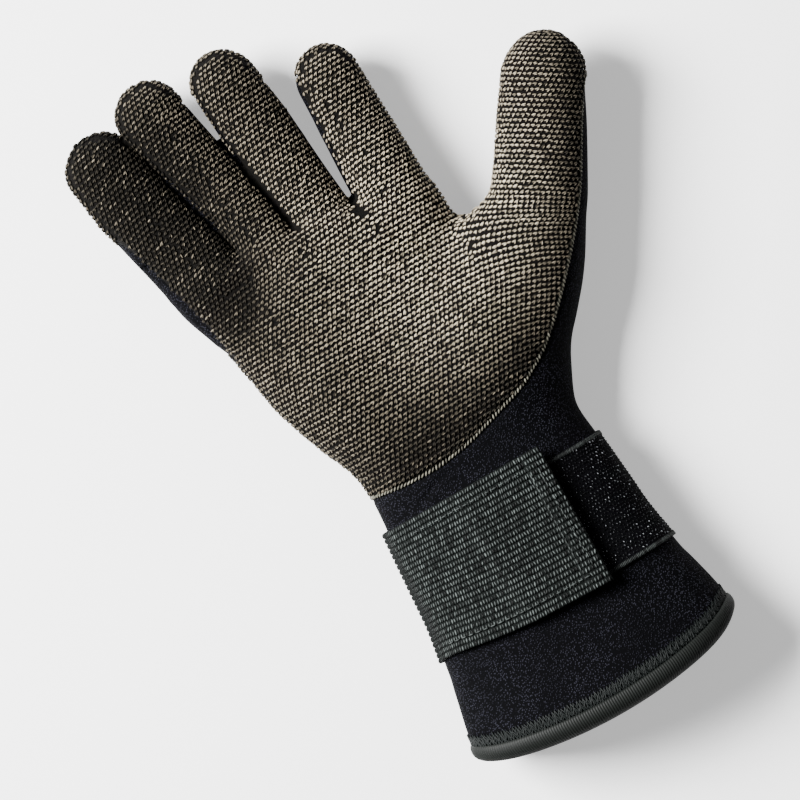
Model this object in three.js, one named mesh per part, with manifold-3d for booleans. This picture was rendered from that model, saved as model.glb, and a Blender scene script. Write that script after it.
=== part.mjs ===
// Right-hand diving glove: 3 mm neoprene with a gauntlet cuff, a grip-knit palm, fourchettes between
// the fingers, a bound hem and an elastic wrist strap that closes on a strip of hook tape.
// Millimetres, +Y to the fingertips, +X to the thumb, +Z out of the palm. It lies on its back.
import * as THREE from 'three';
import Module from 'manifold-3d';
import { mergeVertices } from 'three/addons/utils/BufferGeometryUtils.js';

const wasm = await Module();
wasm.setup();

// Driving sizes of the hand and the cuff
const wall = 3;
const cuffLength = 112;
const palmLength = 118;
const hemWidth = 118.4;
const wristWidth = 90.2;
const palmWidth = 112;
const hemHeight = 48;
const wristHeight = 37;
const palmHeight = 38;
const hemBow = 8;
const restFlat = 2;

// Driving sizes of the fingers and the thumb
const fingerGap = 0.8;
const fingerHeight = 24;
const littleLength = 80.6;
const littleWidth = 33;
const ringLength = 85.8;
const ringWidth = 27.4;
const middleLength = 83.9;
const middleWidth = 28.2;
const indexLength = 69.5;
const indexWidth = 29.6;
const thumbLength = 149.5;
const thumbWidth = 38;
const thenarHeight = 44;
const thumbSplay = 32;
const knuckleSlope = 8;

// Driving sizes of the trim
const seamGap = 0.3;
const clearance = 0.3;
const fourchetteHeight = 10;
const bindingWidth = 6.5;
const bindingThickness = 1.4;
const tapeThickness = 1.3;
const tapeWidth = 52;
const padThickness = 1.2;
const padWidth = 47;
const strapThickness = 2;
const strapWidth = 57;
const strapFlare = 4;
const strapReach = 22.5;
const tapeReach = -10;
const padFrom = -40;
const padTo = 15;
const strapTop = -5;
const backEnds = 38;

// How round a section is: 2 is an ellipse, more is squarer.
const roundness = 2.3;

// Cuff sections, from the hem to the wrist. along: share of the cuff's length; flare: how far the
// width and the height are from the wrist's to the hem's.
const cuffSections = [
  { along: -1.0, flare: 1.0 },
  { along: -0.89, flare: 0.93 },
  { along: -0.78, flare: 0.77 },
  { along: -0.66, flare: 0.61 },
  { along: -0.55, flare: 0.49 },
  { along: -0.42, flare: 0.31 },
  { along: -0.28, flare: 0.23 },
  { along: -0.14, flare: 0.13 },
  { along: 0.0, flare: 0.0 },
];

// Palm sections, from the wrist to the knuckles. along: share of the palm's length; middle and half:
// shares of its width; high: share of its height.
const palmSections = [
  { along: 0.076, middle: 0.008, half: 0.405, high: 0.97 },
  { along: 0.136, middle: 0.022, half: 0.42, high: 0.98 },
  { along: 0.195, middle: 0.021, half: 0.434, high: 1.0 },
  { along: 0.263, middle: 0.007, half: 0.453, high: 1.02 },
  { along: 0.322, middle: -0.011, half: 0.462, high: 1.02 },
  { along: 0.407, middle: -0.04, half: 0.463, high: 1.01 },
  { along: 0.49, middle: -0.065, half: 0.466, high: 1.0 },
  { along: 0.66, middle: -0.096, half: 0.471, high: 0.98 },
  { along: 0.83, middle: -0.126, half: 0.486, high: 0.93 },
  { along: 0.93, middle: -0.147, half: 0.492, high: 0.88 },
];

// Dents and mounds of the palm. x and y: shares of the palm's width and length; across and long: their
// reach in the same shares; depth: share of the palm's height, below nought for a mound.
const palmDents = [
  { x: -0.07, y: 0.55, across: 0.2, long: 0.24, depth: 0.1 },
  { x: -0.36, y: 0.34, across: 0.15, long: 0.26, depth: -0.1 },
  { x: 0.3, y: 0.38, across: 0.22, long: 0.26, depth: -0.16 },
  { x: -0.42, y: 0.93, across: 0.1, long: 0.12, depth: 0.1 },
  { x: -0.02, y: 0.84, across: 0.4, long: 0.08, depth: -0.05 },
];

// Fingers. root: the knuckle, in shares of the palm's width and length; lean: degrees towards the
// little finger's side. Rows: along is a share of the length; half and shift are shares of the width;
// low and high are shares of the finger's height above the surface that the glove lies on.
const fingers = [
  {
    name: 'little',
    length: littleLength,
    width: littleWidth,
    root: { x: -0.509, y: 0.958 },
    lean: 11.5,
    rows: [
      { along: -0.2, half: 0.42, shift: 0.03, low: 0.1, high: 1.2 },
      { along: 0.0, half: 0.485, shift: 0.015, low: 0.06, high: 1.22 },
      { along: 0.2, half: 0.5, shift: 0.005, low: 0.05, high: 1.12 },
      { along: 0.42, half: 0.5, shift: -0.032, low: 0.08, high: 1.08 },
      { along: 0.62, half: 0.48, shift: -0.058, low: 0.16, high: 1.12 },
      { along: 0.82, half: 0.45, shift: -0.058, low: 0.28, high: 1.18 },
    ],
  },
  {
    name: 'ring',
    length: ringLength,
    width: ringWidth,
    root: { x: -0.259, y: 0.983 },
    lean: 11.8,
    rows: [
      { along: -0.2, half: 0.4, shift: 0.01, low: 0.1, high: 1.25 },
      { along: 0.0, half: 0.423, shift: 0.015, low: 0.05, high: 1.27 },
      { along: 0.25, half: 0.432, shift: 0.022, low: 0.06, high: 1.17 },
      { along: 0.45, half: 0.462, shift: 0.002, low: 0.12, high: 1.15 },
      { along: 0.65, half: 0.49, shift: -0.015, low: 0.2, high: 1.2 },
      { along: 0.84, half: 0.49, shift: -0.03, low: 0.34, high: 1.28 },
    ],
  },
  {
    name: 'middle',
    length: middleLength,
    width: middleWidth,
    root: { x: -0.036, y: 0.958 },
    lean: 5.8,
    rows: [
      { along: -0.2, half: 0.42, shift: 0.0, low: 0.1, high: 1.25 },
      { along: 0.0, half: 0.44, shift: -0.012, low: 0.05, high: 1.28 },
      { along: 0.25, half: 0.465, shift: -0.03, low: 0.06, high: 1.19 },
      { along: 0.45, half: 0.492, shift: -0.05, low: 0.12, high: 1.17 },
      { along: 0.65, half: 0.497, shift: -0.067, low: 0.22, high: 1.22 },
      { along: 0.83, half: 0.475, shift: -0.06, low: 0.34, high: 1.3 },
    ],
  },
  {
    name: 'index',
    length: indexLength,
    width: indexWidth,
    root: { x: 0.214, y: 0.915 },
    lean: -0.8,
    rows: [
      { along: -0.2, half: 0.44, shift: -0.01, low: 0.1, high: 1.27 },
      { along: 0.0, half: 0.5, shift: -0.012, low: 0.06, high: 1.3 },
      { along: 0.3, half: 0.482, shift: -0.018, low: 0.05, high: 1.21 },
      { along: 0.55, half: 0.466, shift: -0.01, low: 0.12, high: 1.15 },
      { along: 0.8, half: 0.435, shift: -0.003, low: 0.26, high: 1.2 },
    ],
  },
];

// The thumb, from inside the heel of the hand to its tip, with the fingers' columns. low and high are
// shares of the height of the ball of the thumb.
const thumb = {
  name: 'thumb',
  length: thumbLength,
  width: thumbWidth,
  root: { x: 0.267, y: 0.084 },
  lean: -thumbSplay,
  rows: [
    { along: -0.04, half: 0.5, shift: -0.34, low: 0.12, high: 0.6 },
    { along: 0.04, half: 0.7, shift: -0.37, low: 0.05, high: 0.73 },
    { along: 0.13, half: 0.76, shift: -0.42, low: 0.0, high: 0.83 },
    { along: 0.24, half: 0.76, shift: -0.33, low: -0.02, high: 0.9 },
    { along: 0.335, half: 0.74, shift: -0.26, low: -0.02, high: 0.93 },
    { along: 0.41, half: 0.7, shift: -0.2, low: 0.01, high: 0.92 },
    { along: 0.47, half: 0.678, shift: -0.178, low: 0.04, high: 0.89 },
    { along: 0.5, half: 0.63, shift: -0.13, low: 0.06, high: 0.875 },
    { along: 0.525, half: 0.56, shift: -0.06, low: 0.08, high: 0.86 },
    { along: 0.555, half: 0.512, shift: 0.0, low: 0.1, high: 0.85 },
    { along: 0.65, half: 0.49, shift: 0.0, low: 0.13, high: 0.83 },
    { along: 0.77, half: 0.47, shift: 0.0, low: 0.16, high: 0.83 },
    { along: 0.87, half: 0.446, shift: 0.0, low: 0.2, high: 0.84 },
  ],
};

// The palm panel's lower seam, across the heel of the hand. Shares of the palm's width and length.
const heelSeam = [
  { x: -0.52, y: 0.1 },
  { x: -0.397, y: 0.082 },
  { x: -0.268, y: 0.064 },
  { x: -0.134, y: 0.062 },
  { x: 0.0, y: 0.08 },
  { x: 0.134, y: 0.119 },
  { x: 0.268, y: 0.157 },
  { x: 0.4, y: 0.229 },
];

// Where that seam runs on along the thumb's outer side. along: share of the thumb's length; inset:
// share of its width, from its outer edge.
const thumbSeam = [
  { along: 0.255, inset: 0.224 },
  { along: 0.375, inset: 0.18 },
  { along: 0.5, inset: 0.11 },
  { along: 0.6, inset: 0.085 },
  { along: 0.76, inset: 0.07 },
  { along: 0.88, inset: 0.03 },
  { along: 1.06, inset: -0.15 },
];

// The same seam on the little finger's outer side and down the edge of the hand.
const littleSeam = [
  { along: 0.62, inset: -0.12 },
  { along: 0.5, inset: 0.03 },
  { along: 0.38, inset: 0.11 },
  { along: 0.2, inset: 0.12 },
  { along: 0.02, inset: 0.12 },
];
const edgeSeam = [
  { along: 0.83, inset: 0.03 },
  { along: 0.73, inset: 0.015 },
  { along: 0.62, inset: -0.04 },
  { along: 0.3, inset: -0.12 },
];

// Height of the side seams. along: share of the palm's length; high: share of its height.
const seamHeights = [
  { along: -0.3, high: 0.45 },
  { along: 0.3, high: 0.45 },
  { along: 0.7, high: 0.44 },
  { along: 1.0, high: 0.4 },
  { along: 1.35, high: 0.41 },
  { along: 1.75, high: 0.52 },
];

const radians = THREE.MathUtils.degToRad;
const lerp = THREE.MathUtils.lerp;
const ramp = THREE.MathUtils.smoothstep;

// A value read from a table: row values at a place between two rows are in proportion.
function readTable(rows, place, column, by = 'along') {
  const next = rows.findIndex((row) => row[by] >= place);
  if (next === 0) return rows[0][column];
  if (next < 0) return rows[rows.length - 1][column];
  const before = rows[next - 1];
  const share = (place - before[by]) / (rows[next][by] - before[by]);
  return lerp(before[column], rows[next][column], share);
}

// The hand's own sections at real size, with cuff and palm as one list along Y.
const cuffRows = cuffSections.map((row) => ({
  along: row.along * cuffLength,
  middle: 0,
  half: lerp(wristWidth, hemWidth, row.flare) / 2,
  high: lerp(wristHeight, hemHeight, row.flare),
}));
const palmRows = palmSections.map((row) => ({
  along: row.along * palmLength,
  middle: row.middle * palmWidth,
  half: row.half * palmWidth,
  high: row.high * palmHeight,
}));
const handRows = [...cuffRows, ...palmRows];

// A point of a section: a superellipse between low and high, flattened where it rests.
function sectionPoint(row, angle, outset, floor) {
  const cosine = Math.cos(angle);
  const sine = Math.sin(angle);
  const across = Math.sign(cosine) * Math.abs(cosine) ** (2 / roundness);
  const up = Math.sign(sine) * Math.abs(sine) ** (2 / roundness);
  const centre = (row.low + row.high) / 2;
  const tall = (row.high - row.low) / 2 + outset;
  return {
    across: row.middle + (row.half + outset) * across,
    up: Math.max(centre + tall * up, floor - outset),
    side: across,
  };
}

// How far the palm's dents pull a point of its upper side down.
function palmDent(x, y, upward) {
  let pull = 0;
  for (const dent of palmDents) {
    const dx = (x / palmWidth - dent.x) / dent.across;
    const dy = (y / palmLength - dent.y) / dent.long;
    pull += dent.depth * palmHeight * Math.exp(-dx * dx - dy * dy);
  }
  return pull * upward;
}

// The hem's binding lifts the hem off the surface by its own thickness.
const hemLift = bindingThickness + clearance;

// A point of the cuff and palm at a place along Y. The hem is bowed, and the bow fades to the wrist.
function handPoint(along, angle, outset) {
  const row = {
    middle: readTable(handRows, along, 'middle'),
    half: readTable(handRows, along, 'half'),
    low: -restFlat,
    high: readTable(handRows, along, 'high'),
  };
  const nearHem = ramp(-along, cuffLength - 3 * bindingWidth, cuffLength - bindingWidth);
  const point = sectionPoint(row, angle, outset, hemLift * nearHem);
  const bow = hemBow * ramp(-along, cuffLength / 2, cuffLength) * point.side * point.side;
  const upward = Math.max(0, Math.sin(angle));
  const dent = palmDent(point.across, along, upward);
  return new THREE.Vector3(point.across, along + bow, point.up - dent);
}

// The angle at which a section of the hand crosses a given x, on the palm side.
function angleAt(along, x) {
  const share = (x - readTable(handRows, along, 'middle')) / readTable(handRows, along, 'half');
  return Math.acos(Math.sign(share) * Math.abs(share) ** (roundness / 2));
}

// A closed solid from rings of equally many points. Ends are closed by a fan to their middle, or the
// last ring joins the first one.
function loft(rings, closedLoop = false) {
  const count = rings[0].length;
  const points = rings.flat();
  const faces = [];
  const spans = closedLoop ? rings.length : rings.length - 1;
  for (let i = 0; i < spans; i++) {
    const next = (i + 1) % rings.length;
    for (let j = 0; j < count; j++) {
      const k = (j + 1) % count;
      faces.push(i * count + j, i * count + k, next * count + k);
      faces.push(i * count + j, next * count + k, next * count + j);
    }
  }
  const fan = (ring, first, turned) => {
    const middle = ring.reduce((sum, p) => sum.add(p), new THREE.Vector3()).divideScalar(count);
    points.push(middle);
    for (let j = 0; j < count; j++) {
      const a = first + j;
      const b = first + ((j + 1) % count);
      faces.push(points.length - 1, turned ? b : a, turned ? a : b);
    }
  };
  if (!closedLoop) {
    fan(rings[0], 0, true);
    fan(rings[rings.length - 1], (rings.length - 1) * count, false);
  }
  return solid(points, faces);
}

// A closed sheet: point(u, v, face) for u and v from 0 to 1, with face 0 inside and 1 outside.
function slab(uSteps, vSteps, point) {
  const rings = [];
  for (let i = 0; i <= uSteps; i++) {
    const ring = [];
    for (let j = 0; j <= vSteps; j++) ring.push(point(i / uSteps, j / vSteps, 1));
    for (let j = vSteps; j >= 0; j--) ring.push(point(i / uSteps, j / vSteps, 0));
    rings.push(ring);
  }
  return loft(rings);
}

// A manifold solid from points and faces, turned outwards where they came out inwards.
function solid(points, faces) {
  let geometry = new THREE.BufferGeometry().setFromPoints(points);
  geometry.setIndex(faces);
  geometry = mergeVertices(geometry, 1e-4);
  const build = (index) =>
    new wasm.Manifold(
      new wasm.Mesh({
        numProp: 3,
        vertProperties: geometry.attributes.position.array,
        triVerts: new Uint32Array(index),
      }),
    );
  const index = Array.from(geometry.index.array);
  const made = build(index);
  return made.volume() > 0 ? made : build(index.reverse());
}

// A straight prism with a closed outline in X and Y, and its lower and upper face at given heights.
function prism(outline, lower, upper) {
  const rings = [lower, upper].map((height) =>
    outline.map((p) => new THREE.Vector3(p.x, p.y, height(p.x, p.y))),
  );
  const faces = [];
  const count = outline.length;
  for (let j = 0; j < count; j++) {
    const k = (j + 1) % count;
    faces.push(j, k, count + k, j, count + k, count + j);
  }
  for (const [a, b, c] of THREE.ShapeUtils.triangulateShape(outline, [])) {
    faces.push(c, b, a, count + a, count + b, count + c);
  }
  return solid(rings.flat(), faces);
}

// An outline grown outwards by a distance, corner by corner. It runs anticlockwise.
function grownOutline(outline, distance) {
  const count = outline.length;
  return outline.map((p, i) => {
    const before = outline[(i + count - 1) % count];
    const after = outline[(i + 1) % count];
    const along = after.clone().sub(before).normalize();
    return new THREE.Vector2(p.x + along.y * distance, p.y - along.x * distance);
  });
}

// Stations of a finger or thumb: its table's rows, then a round tip in even steps.
const tipSteps = 3;

function limbStations(limb) {
  const last = limb.rows[limb.rows.length - 1];
  const stations = limb.rows.map((row) => ({ ...row, round: 1, tip: 0 }));
  for (let step = 1; step <= tipSteps; step++) {
    const turn = (step / (tipSteps + 0.5)) * (Math.PI / 2);
    stations.push({ ...last, round: Math.cos(turn), tip: Math.sin(turn) });
  }
  return stations;
}

// Where a limb's middle line is at a distance from its root, and its directions along and across.
function limbFrame(limb) {
  const root = new THREE.Vector2(limb.root.x * palmWidth, limb.root.y * palmLength);
  const lean = radians(limb.lean);
  const along = new THREE.Vector2(-Math.sin(lean), Math.cos(lean));
  const across = new THREE.Vector2(along.y, -along.x);
  const at = (s, n) => root.clone().addScaledVector(along, s).addScaledVector(across, n);
  return { at };
}

// The closed skin of a finger or thumb, grown or shrunk by an outset.
function limbSolid(limb, height, outset, sides) {
  const { at } = limbFrame(limb);
  const last = limb.rows[limb.rows.length - 1];
  const dome = limb.length * (1 - last.along);
  const rings = limbStations(limb).map((station) => {
    const half = station.half * limb.width - fingerGap / 2;
    const low = station.low * height;
    const high = station.high * height;
    const middle = (low + high) / 2;
    const row = {
      middle: station.shift * limb.width,
      half: (half + outset) * station.round,
      low: middle - ((high - low) / 2 + outset) * station.round,
      high: middle + ((high - low) / 2 + outset) * station.round,
    };
    const s = station.along * limb.length + station.tip * (dome + outset);
    const ring = [];
    for (let j = 0; j < sides; j++) {
      const p = sectionPoint(row, (j / sides) * 2 * Math.PI, 0, -outset);
      const place = at(s, p.across);
      ring.push(new THREE.Vector3(place.x, place.y, p.up));
    }
    return ring;
  });
  return loft(rings);
}

// The cuff and palm as one closed skin. Its front closes down between the fingers. The inside runs on
// past the hem, so that the cuff is open.
const handSides = 32;
const frontSteps = 3;
const frontDepth = 9;

function handSolid(outset) {
  const slope = Math.tan(radians(knuckleSlope));
  const front = handRows[handRows.length - 1];
  const level = (front.high - restFlat) / 2;
  const frontRing = (ahead, squash, narrow) => {
    const ring = [];
    for (let j = 0; j < handSides; j++) {
      const p = handPoint(front.along, (j / handSides) * 2 * Math.PI, outset - narrow);
      const y = front.along + ahead - (p.x - front.middle) * slope * (1 - squash);
      ring.push(new THREE.Vector3(p.x, y, level + (p.z - level) * squash));
    }
    return ring;
  };
  const underBinding = [bindingWidth, 2 * bindingWidth].map((reach) => reach - cuffLength);
  const stations = [...handRows.map((row) => row.along), ...underBinding].sort((a, b) => a - b);
  const rings = stations.map((along) => {
    const ring = [];
    for (let j = 0; j < handSides; j++) {
      ring.push(handPoint(along, (j / handSides) * 2 * Math.PI, outset));
    }
    return ring;
  });
  if (outset < 0) rings.unshift(rings[0].map((p) => new THREE.Vector3(p.x, p.y - hemBow, p.z)));
  for (let step = 1; step <= frontSteps; step++) {
    const turn = (step / (frontSteps + 0.4)) * (Math.PI / 2);
    const squash = Math.cos(turn);
    rings.push(frontRing(Math.sin(turn) * (frontDepth + outset), squash, (frontDepth * (1 - squash)) / 2));
  }
  return loft(rings);
}

// The glove's wall: everything outside less everything inside.
const fingerSides = 16;
const thumbSides = 20;

function glove(outset) {
  let body = handSolid(outset);
  for (const finger of fingers) {
    body = body.add(limbSolid(finger, fingerHeight, outset, fingerSides));
  }
  return body.add(limbSolid(thumb, thenarHeight, outset, thumbSides));
}

const shell = glove(0).subtract(glove(-wall));

// The height of the side seam at a place along Y.
function seamHeight(x, y) {
  return readTable(seamHeights, y / palmLength, 'high') * palmHeight;
}

// The palm panel's outline, with the seam on the thumb and the little finger set in from their edges.
const farAway = 3 * palmLength;

function palmOutline() {
  const points = heelSeam.map((p) => new THREE.Vector2(p.x * palmWidth, p.y * palmLength));
  const outerEdge = (limb, place, side) => {
    const half = readTable(limb.rows, place.along, 'half') * limb.width;
    const shift = readTable(limb.rows, place.along, 'shift') * limb.width;
    return shift + side * (half - place.inset * limb.width);
  };
  const onThumb = limbFrame(thumb);
  for (const place of thumbSeam) {
    points.push(onThumb.at(place.along * thumb.length, outerEdge(thumb, place, 1)));
  }
  points.push(new THREE.Vector2(farAway, farAway));
  points.push(new THREE.Vector2(-farAway, farAway));
  const little = fingers[0];
  const onLittle = limbFrame(little);
  for (const place of littleSeam) {
    points.push(onLittle.at(place.along * little.length, outerEdge(little, place, -1)));
  }
  for (const place of edgeSeam) {
    const y = place.along * palmLength;
    const edge = readTable(handRows, y, 'middle') - readTable(handRows, y, 'half');
    points.push(new THREE.Vector2(edge + place.inset * palmWidth, y));
  }
  return points;
}

// The palm panel's cutter: its outline, above the side seam. The seam's height changes along Y, so the
// prism is cut from below by a second one, drawn in Y and Z and laid across.
function palmCutter(grow) {
  const outline = grownOutline(palmOutline(), grow);
  const tall = prism(outline, () => -farAway, () => farAway);
  const profile = seamHeights.map(
    (row) => new THREE.Vector2(row.along * palmLength, row.high * palmHeight - grow),
  );
  const first = new THREE.Vector2(-farAway, profile[0].y);
  const last = new THREE.Vector2(2 * farAway, profile[profile.length - 1].y);
  const side = [first, ...profile, last, new THREE.Vector2(2 * farAway, farAway)];
  side.push(new THREE.Vector2(-farAway, farAway));
  const count = side.length;
  const points = [-2 * farAway, 2 * farAway].flatMap((x) =>
    side.map((p) => new THREE.Vector3(x, p.x, p.y)),
  );
  const faces = [];
  for (let j = 0; j < count; j++) {
    const k = (j + 1) % count;
    faces.push(j, k, count + k, j, count + k, count + j);
  }
  for (const [a, b, c] of THREE.ShapeUtils.triangulateShape(side, [])) {
    faces.push(c, b, a, count + a, count + b, count + c);
  }
  return tall.intersect(solid(points, faces));
}

// Between two fingers, from one middle line to the other, in a band about the side seam.
const fourchetteEnd = 0.84;
const fourchetteRoot = -0.03;

function fourchetteBand(first, second, grow) {
  const a = limbFrame(first);
  const b = limbFrame(second);
  const middle = (limb, share) => readTable(limb.rows, share, 'shift') * limb.width;
  const outline = [
    a.at(fourchetteRoot * first.length - grow, middle(first, 0)),
    b.at(fourchetteRoot * second.length - grow, middle(second, 0)),
    b.at(fourchetteEnd * second.length + grow, middle(second, fourchetteEnd)),
    a.at(fourchetteEnd * first.length + grow, middle(first, fourchetteEnd)),
  ];
  const half = fourchetteHeight / 2 + grow;
  const lower = (x, y) => seamHeight(x, y) - half;
  const upper = (x, y) => seamHeight(x, y) + half;
  return prism(outline, lower, upper);
}

// A cut body without the crumbs that a cut leaves where two faces almost meet.
const crumb = 1;

function withoutCrumbs(body) {
  const kept = body.decompose().filter((part) => part.volume() > crumb);
  return kept.reduce((sum, part) => sum.add(part));
}

const palmCut = palmCutter(0);
const palmCutGrown = palmCutter(seamGap);
let palmPanel = shell.intersect(palmCut);
let backAndCuff = shell.subtract(palmCutGrown);
const fourchettes = [];
for (let i = 0; i + 1 < fingers.length; i++) {
  const band = fourchetteBand(fingers[i], fingers[i + 1], 0);
  const bandGrown = fourchetteBand(fingers[i], fingers[i + 1], seamGap);
  const name = 'fourchette_' + fingers[i].name + '_' + fingers[i + 1].name;
  fourchettes.push({ name, body: shell.intersect(band) });
  palmPanel = palmPanel.subtract(bandGrown);
  backAndCuff = backAndCuff.subtract(bandGrown);
}

// The hem's binding: a channel folded over the edge, carried round the hem. Its section is drawn from
// the outer edge, round the hem, to the inner edge, in distances along and out from the cuff's skin.
function bindingSolid() {
  const outer = clearance;
  const thick = bindingThickness;
  const inner = -wall - clearance;
  const hem = -cuffLength;
  const section = [
    { along: hem + bindingWidth, out: outer },
    { along: hem + bindingWidth, out: outer + thick * 0.7 },
    { along: hem + bindingWidth / 2, out: outer + thick },
    { along: hem + 0.2, out: outer + thick },
    { along: hem - clearance - thick * 0.75, out: outer - 0.4 },
    { along: hem - clearance - thick, out: -wall / 2 },
    { along: hem - clearance - thick * 0.75, out: inner + 0.4 },
    { along: hem + 0.2, out: inner - thick },
    { along: hem + bindingWidth * 0.8, out: inner - thick },
    { along: hem + bindingWidth * 0.8, out: inner },
    { along: hem - clearance, out: inner },
    { along: hem - clearance, out: outer },
  ];
  const rings = [];
  for (let j = 0; j < handSides; j++) {
    const angle = (j / handSides) * 2 * Math.PI;
    rings.push(section.map((p) => handPoint(p.along, angle, p.out)));
  }
  return loft(rings, true);
}

// Height of the strap's layers off the cuff: the pad and the strap step up over the hook tape.
const stepLength = 9;

function overTape(x) {
  return ramp(x, tapeReach - stepLength, tapeReach - 1) * (tapeThickness + clearance);
}

function overPad(x) {
  return ramp(x, padFrom - stepLength, padFrom - 1) * (padThickness + clearance);
}

// A band that follows the cuff between two places across it. from and to: angle functions of along;
// lower and upper: its edges along Y at a share of its length; stack: height of its inner face.
function cuffBand({ from, to, lower, upper, stack, thickness, steps }) {
  return slab(steps, 2, (u, v, face) => {
    const along = lerp(lower(u), upper(u), v);
    const angle = lerp(from(along), to(along), u);
    const x = handPoint(along, angle, 0).x;
    const onTop = Math.sin(angle) > 0 ? x : -farAway;
    return handPoint(along, angle, clearance + stack(onTop) + face * thickness);
  });
}

// The strap is sewn to the back of the cuff on the little finger's side, and comes over to the palm
// side. Its free end lies on the pad and the tape.
const strap = cuffBand({
  from: (along) => 2 * Math.PI - angleAt(along, -backEnds),
  to: (along) => angleAt(along, strapReach),
  lower: (u) => strapTop - strapWidth - strapFlare * u,
  upper: () => strapTop,
  stack: (x) => overTape(x) + overPad(x),
  thickness: strapThickness,
  steps: 26,
});

const pad = cuffBand({
  from: (along) => angleAt(along, padFrom),
  to: (along) => angleAt(along, padTo),
  lower: () => strapTop - (strapWidth + padWidth) / 2,
  upper: () => strapTop - (strapWidth - padWidth) / 2,
  stack: overTape,
  thickness: padThickness,
  steps: 14,
});

// The hook tape starts under the strap and goes round the thumb's side to the back of the cuff.
const tapeTop = strapTop - 7;

const tape = cuffBand({
  from: (along) => angleAt(along, tapeReach),
  to: (along) => -angleAt(along, backEnds),
  lower: () => tapeTop - tapeWidth,
  upper: () => tapeTop,
  stack: () => 0,
  thickness: tapeThickness,
  steps: 20,
});

// Materials of the pieces
function cloth(colour, roughness) {
  return new THREE.MeshStandardMaterial({ color: colour, roughness, metalness: 0 });
}

const gripKnit = cloth(0x4f463a, 0.85);
const neoprene = cloth(0x17171d, 0.9);
const bindingTape = cloth(0x22251f, 0.8);
const elastic = cloth(0x2a2f2d, 0.75);
const hookTape = cloth(0x121214, 0.7);
const loopPad = cloth(0x1a1b1d, 0.95);

const group = new THREE.Group();

function addPiece(name, body, material) {
  const mesh = body.getMesh();
  const geometry = new THREE.BufferGeometry();
  geometry.setAttribute('position', new THREE.BufferAttribute(mesh.vertProperties, 3));
  geometry.setIndex(new THREE.BufferAttribute(mesh.triVerts, 1));
  geometry.computeVertexNormals();
  const piece = new THREE.Mesh(geometry, material);
  piece.name = name;
  group.add(piece);
}

addPiece('palm_panel', withoutCrumbs(palmPanel), gripKnit);
addPiece('back_and_cuff', withoutCrumbs(backAndCuff), neoprene);
for (const { name, body } of fourchettes) addPiece(name, body, neoprene);
addPiece('cuff_binding', bindingSolid(), bindingTape);
addPiece('wrist_strap', strap, elastic);
addPiece('strap_pad', pad, loopPad);
addPiece('hook_tape', tape, hookTape);

// The origin goes to the middle of the underside.
const box = new THREE.Box3().setFromObject(group);
const middle = box.getCenter(new THREE.Vector3());
group.position.set(-middle.x, -middle.y, -box.min.z);

export default group;
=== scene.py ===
# Right-hand diving glove lying on its back: neoprene shell, grip-knit palm, ribbed elastic wrist strap
# on hook tape, and a bound hem. Shapes are worked out in millimetres in the wrist's own frame, with
# +Y to the fingertips, +X to the thumb and +Z out of the palm, and turned to metres in the row frame.
import math

import bpy
import numpy as np
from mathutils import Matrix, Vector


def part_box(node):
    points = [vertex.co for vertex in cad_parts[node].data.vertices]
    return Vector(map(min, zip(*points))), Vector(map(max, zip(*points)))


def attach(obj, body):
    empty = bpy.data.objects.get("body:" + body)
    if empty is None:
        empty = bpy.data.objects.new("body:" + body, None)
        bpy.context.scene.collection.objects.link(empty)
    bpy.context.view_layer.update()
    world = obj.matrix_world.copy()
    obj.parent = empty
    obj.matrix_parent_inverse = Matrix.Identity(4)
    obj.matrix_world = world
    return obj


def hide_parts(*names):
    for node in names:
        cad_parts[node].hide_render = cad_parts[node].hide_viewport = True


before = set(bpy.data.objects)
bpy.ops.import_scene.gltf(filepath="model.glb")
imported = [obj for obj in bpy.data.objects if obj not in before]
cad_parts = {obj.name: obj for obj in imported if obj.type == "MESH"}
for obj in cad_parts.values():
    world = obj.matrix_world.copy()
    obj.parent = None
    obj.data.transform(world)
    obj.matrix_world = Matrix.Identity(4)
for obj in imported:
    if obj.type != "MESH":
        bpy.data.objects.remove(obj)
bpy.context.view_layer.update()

# Sizes of the hand and the cuff, as the CAD source has them, and how far the hem's corners are rounded
WALL = 3.0
CUFF_LENGTH = 112.0
PALM_LENGTH = 118.0
HEM_WIDTH = 118.4
WRIST_WIDTH = 90.2
PALM_WIDTH = 112.0
HEM_HEIGHT = 48.0
WRIST_HEIGHT = 37.0
PALM_HEIGHT = 38.0
HEM_BOW = 8.0
CORNER_RIGHT = 4.0
CORNER_LEFT = 2.0
REST_FLAT = 2.0
ROUNDNESS = 2.3
KNUCKLE_SLOPE = math.tan(math.radians(8.0))
FRONT_DEPTH = 9.0

# Sizes of the fingers and the thumb. The fingers touch, so their gap is below nought.
FINGER_GAP = -0.2
FINGER_HEIGHT = 24.0
THENAR_HEIGHT = 44.0
THUMB_LEAN = -32.0

# Sizes of the trim. The strap's end and its lower edge are drawn in a little from the solid's.
CLEARANCE = 0.3
FOURCHETTE_HEIGHTS = (9.0, 10.0, 10.0)
BINDING_WIDTH = 6.5
BINDING_THICKNESS = 1.4
TAPE_THICKNESS = 1.3
TAPE_WIDTH = 52.0
PAD_THICKNESS = 1.2
PAD_WIDTH = 47.0
STRAP_THICKNESS = 2.0
STRAP_WIDTH = 57.0
STRAP_FLARE = 4.0
STRAP_REACH = 20.5
STRAP_TUCK = 3.5
STRAP_TOP = -5.0
TAPE_REACH = -10.0
PAD_FROM = -40.0
PAD_TO = 15.0
BACK_ENDS = 38.0
STEP_LENGTH = 9.0

# Where the wrist's middle is in the row frame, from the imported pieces: the binding is even about it,
# the strap's upper edge lies below it, and the cuff's underside rests on the surface.
binding_low, binding_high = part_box("cuff_binding")
WRIST = np.array((
    (binding_low.x + binding_high.x) * 500.0,
    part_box("wrist_strap")[1].y * 1000.0 - STRAP_TOP,
    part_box("back_and_cuff")[0].z * 1000.0,
))

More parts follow.
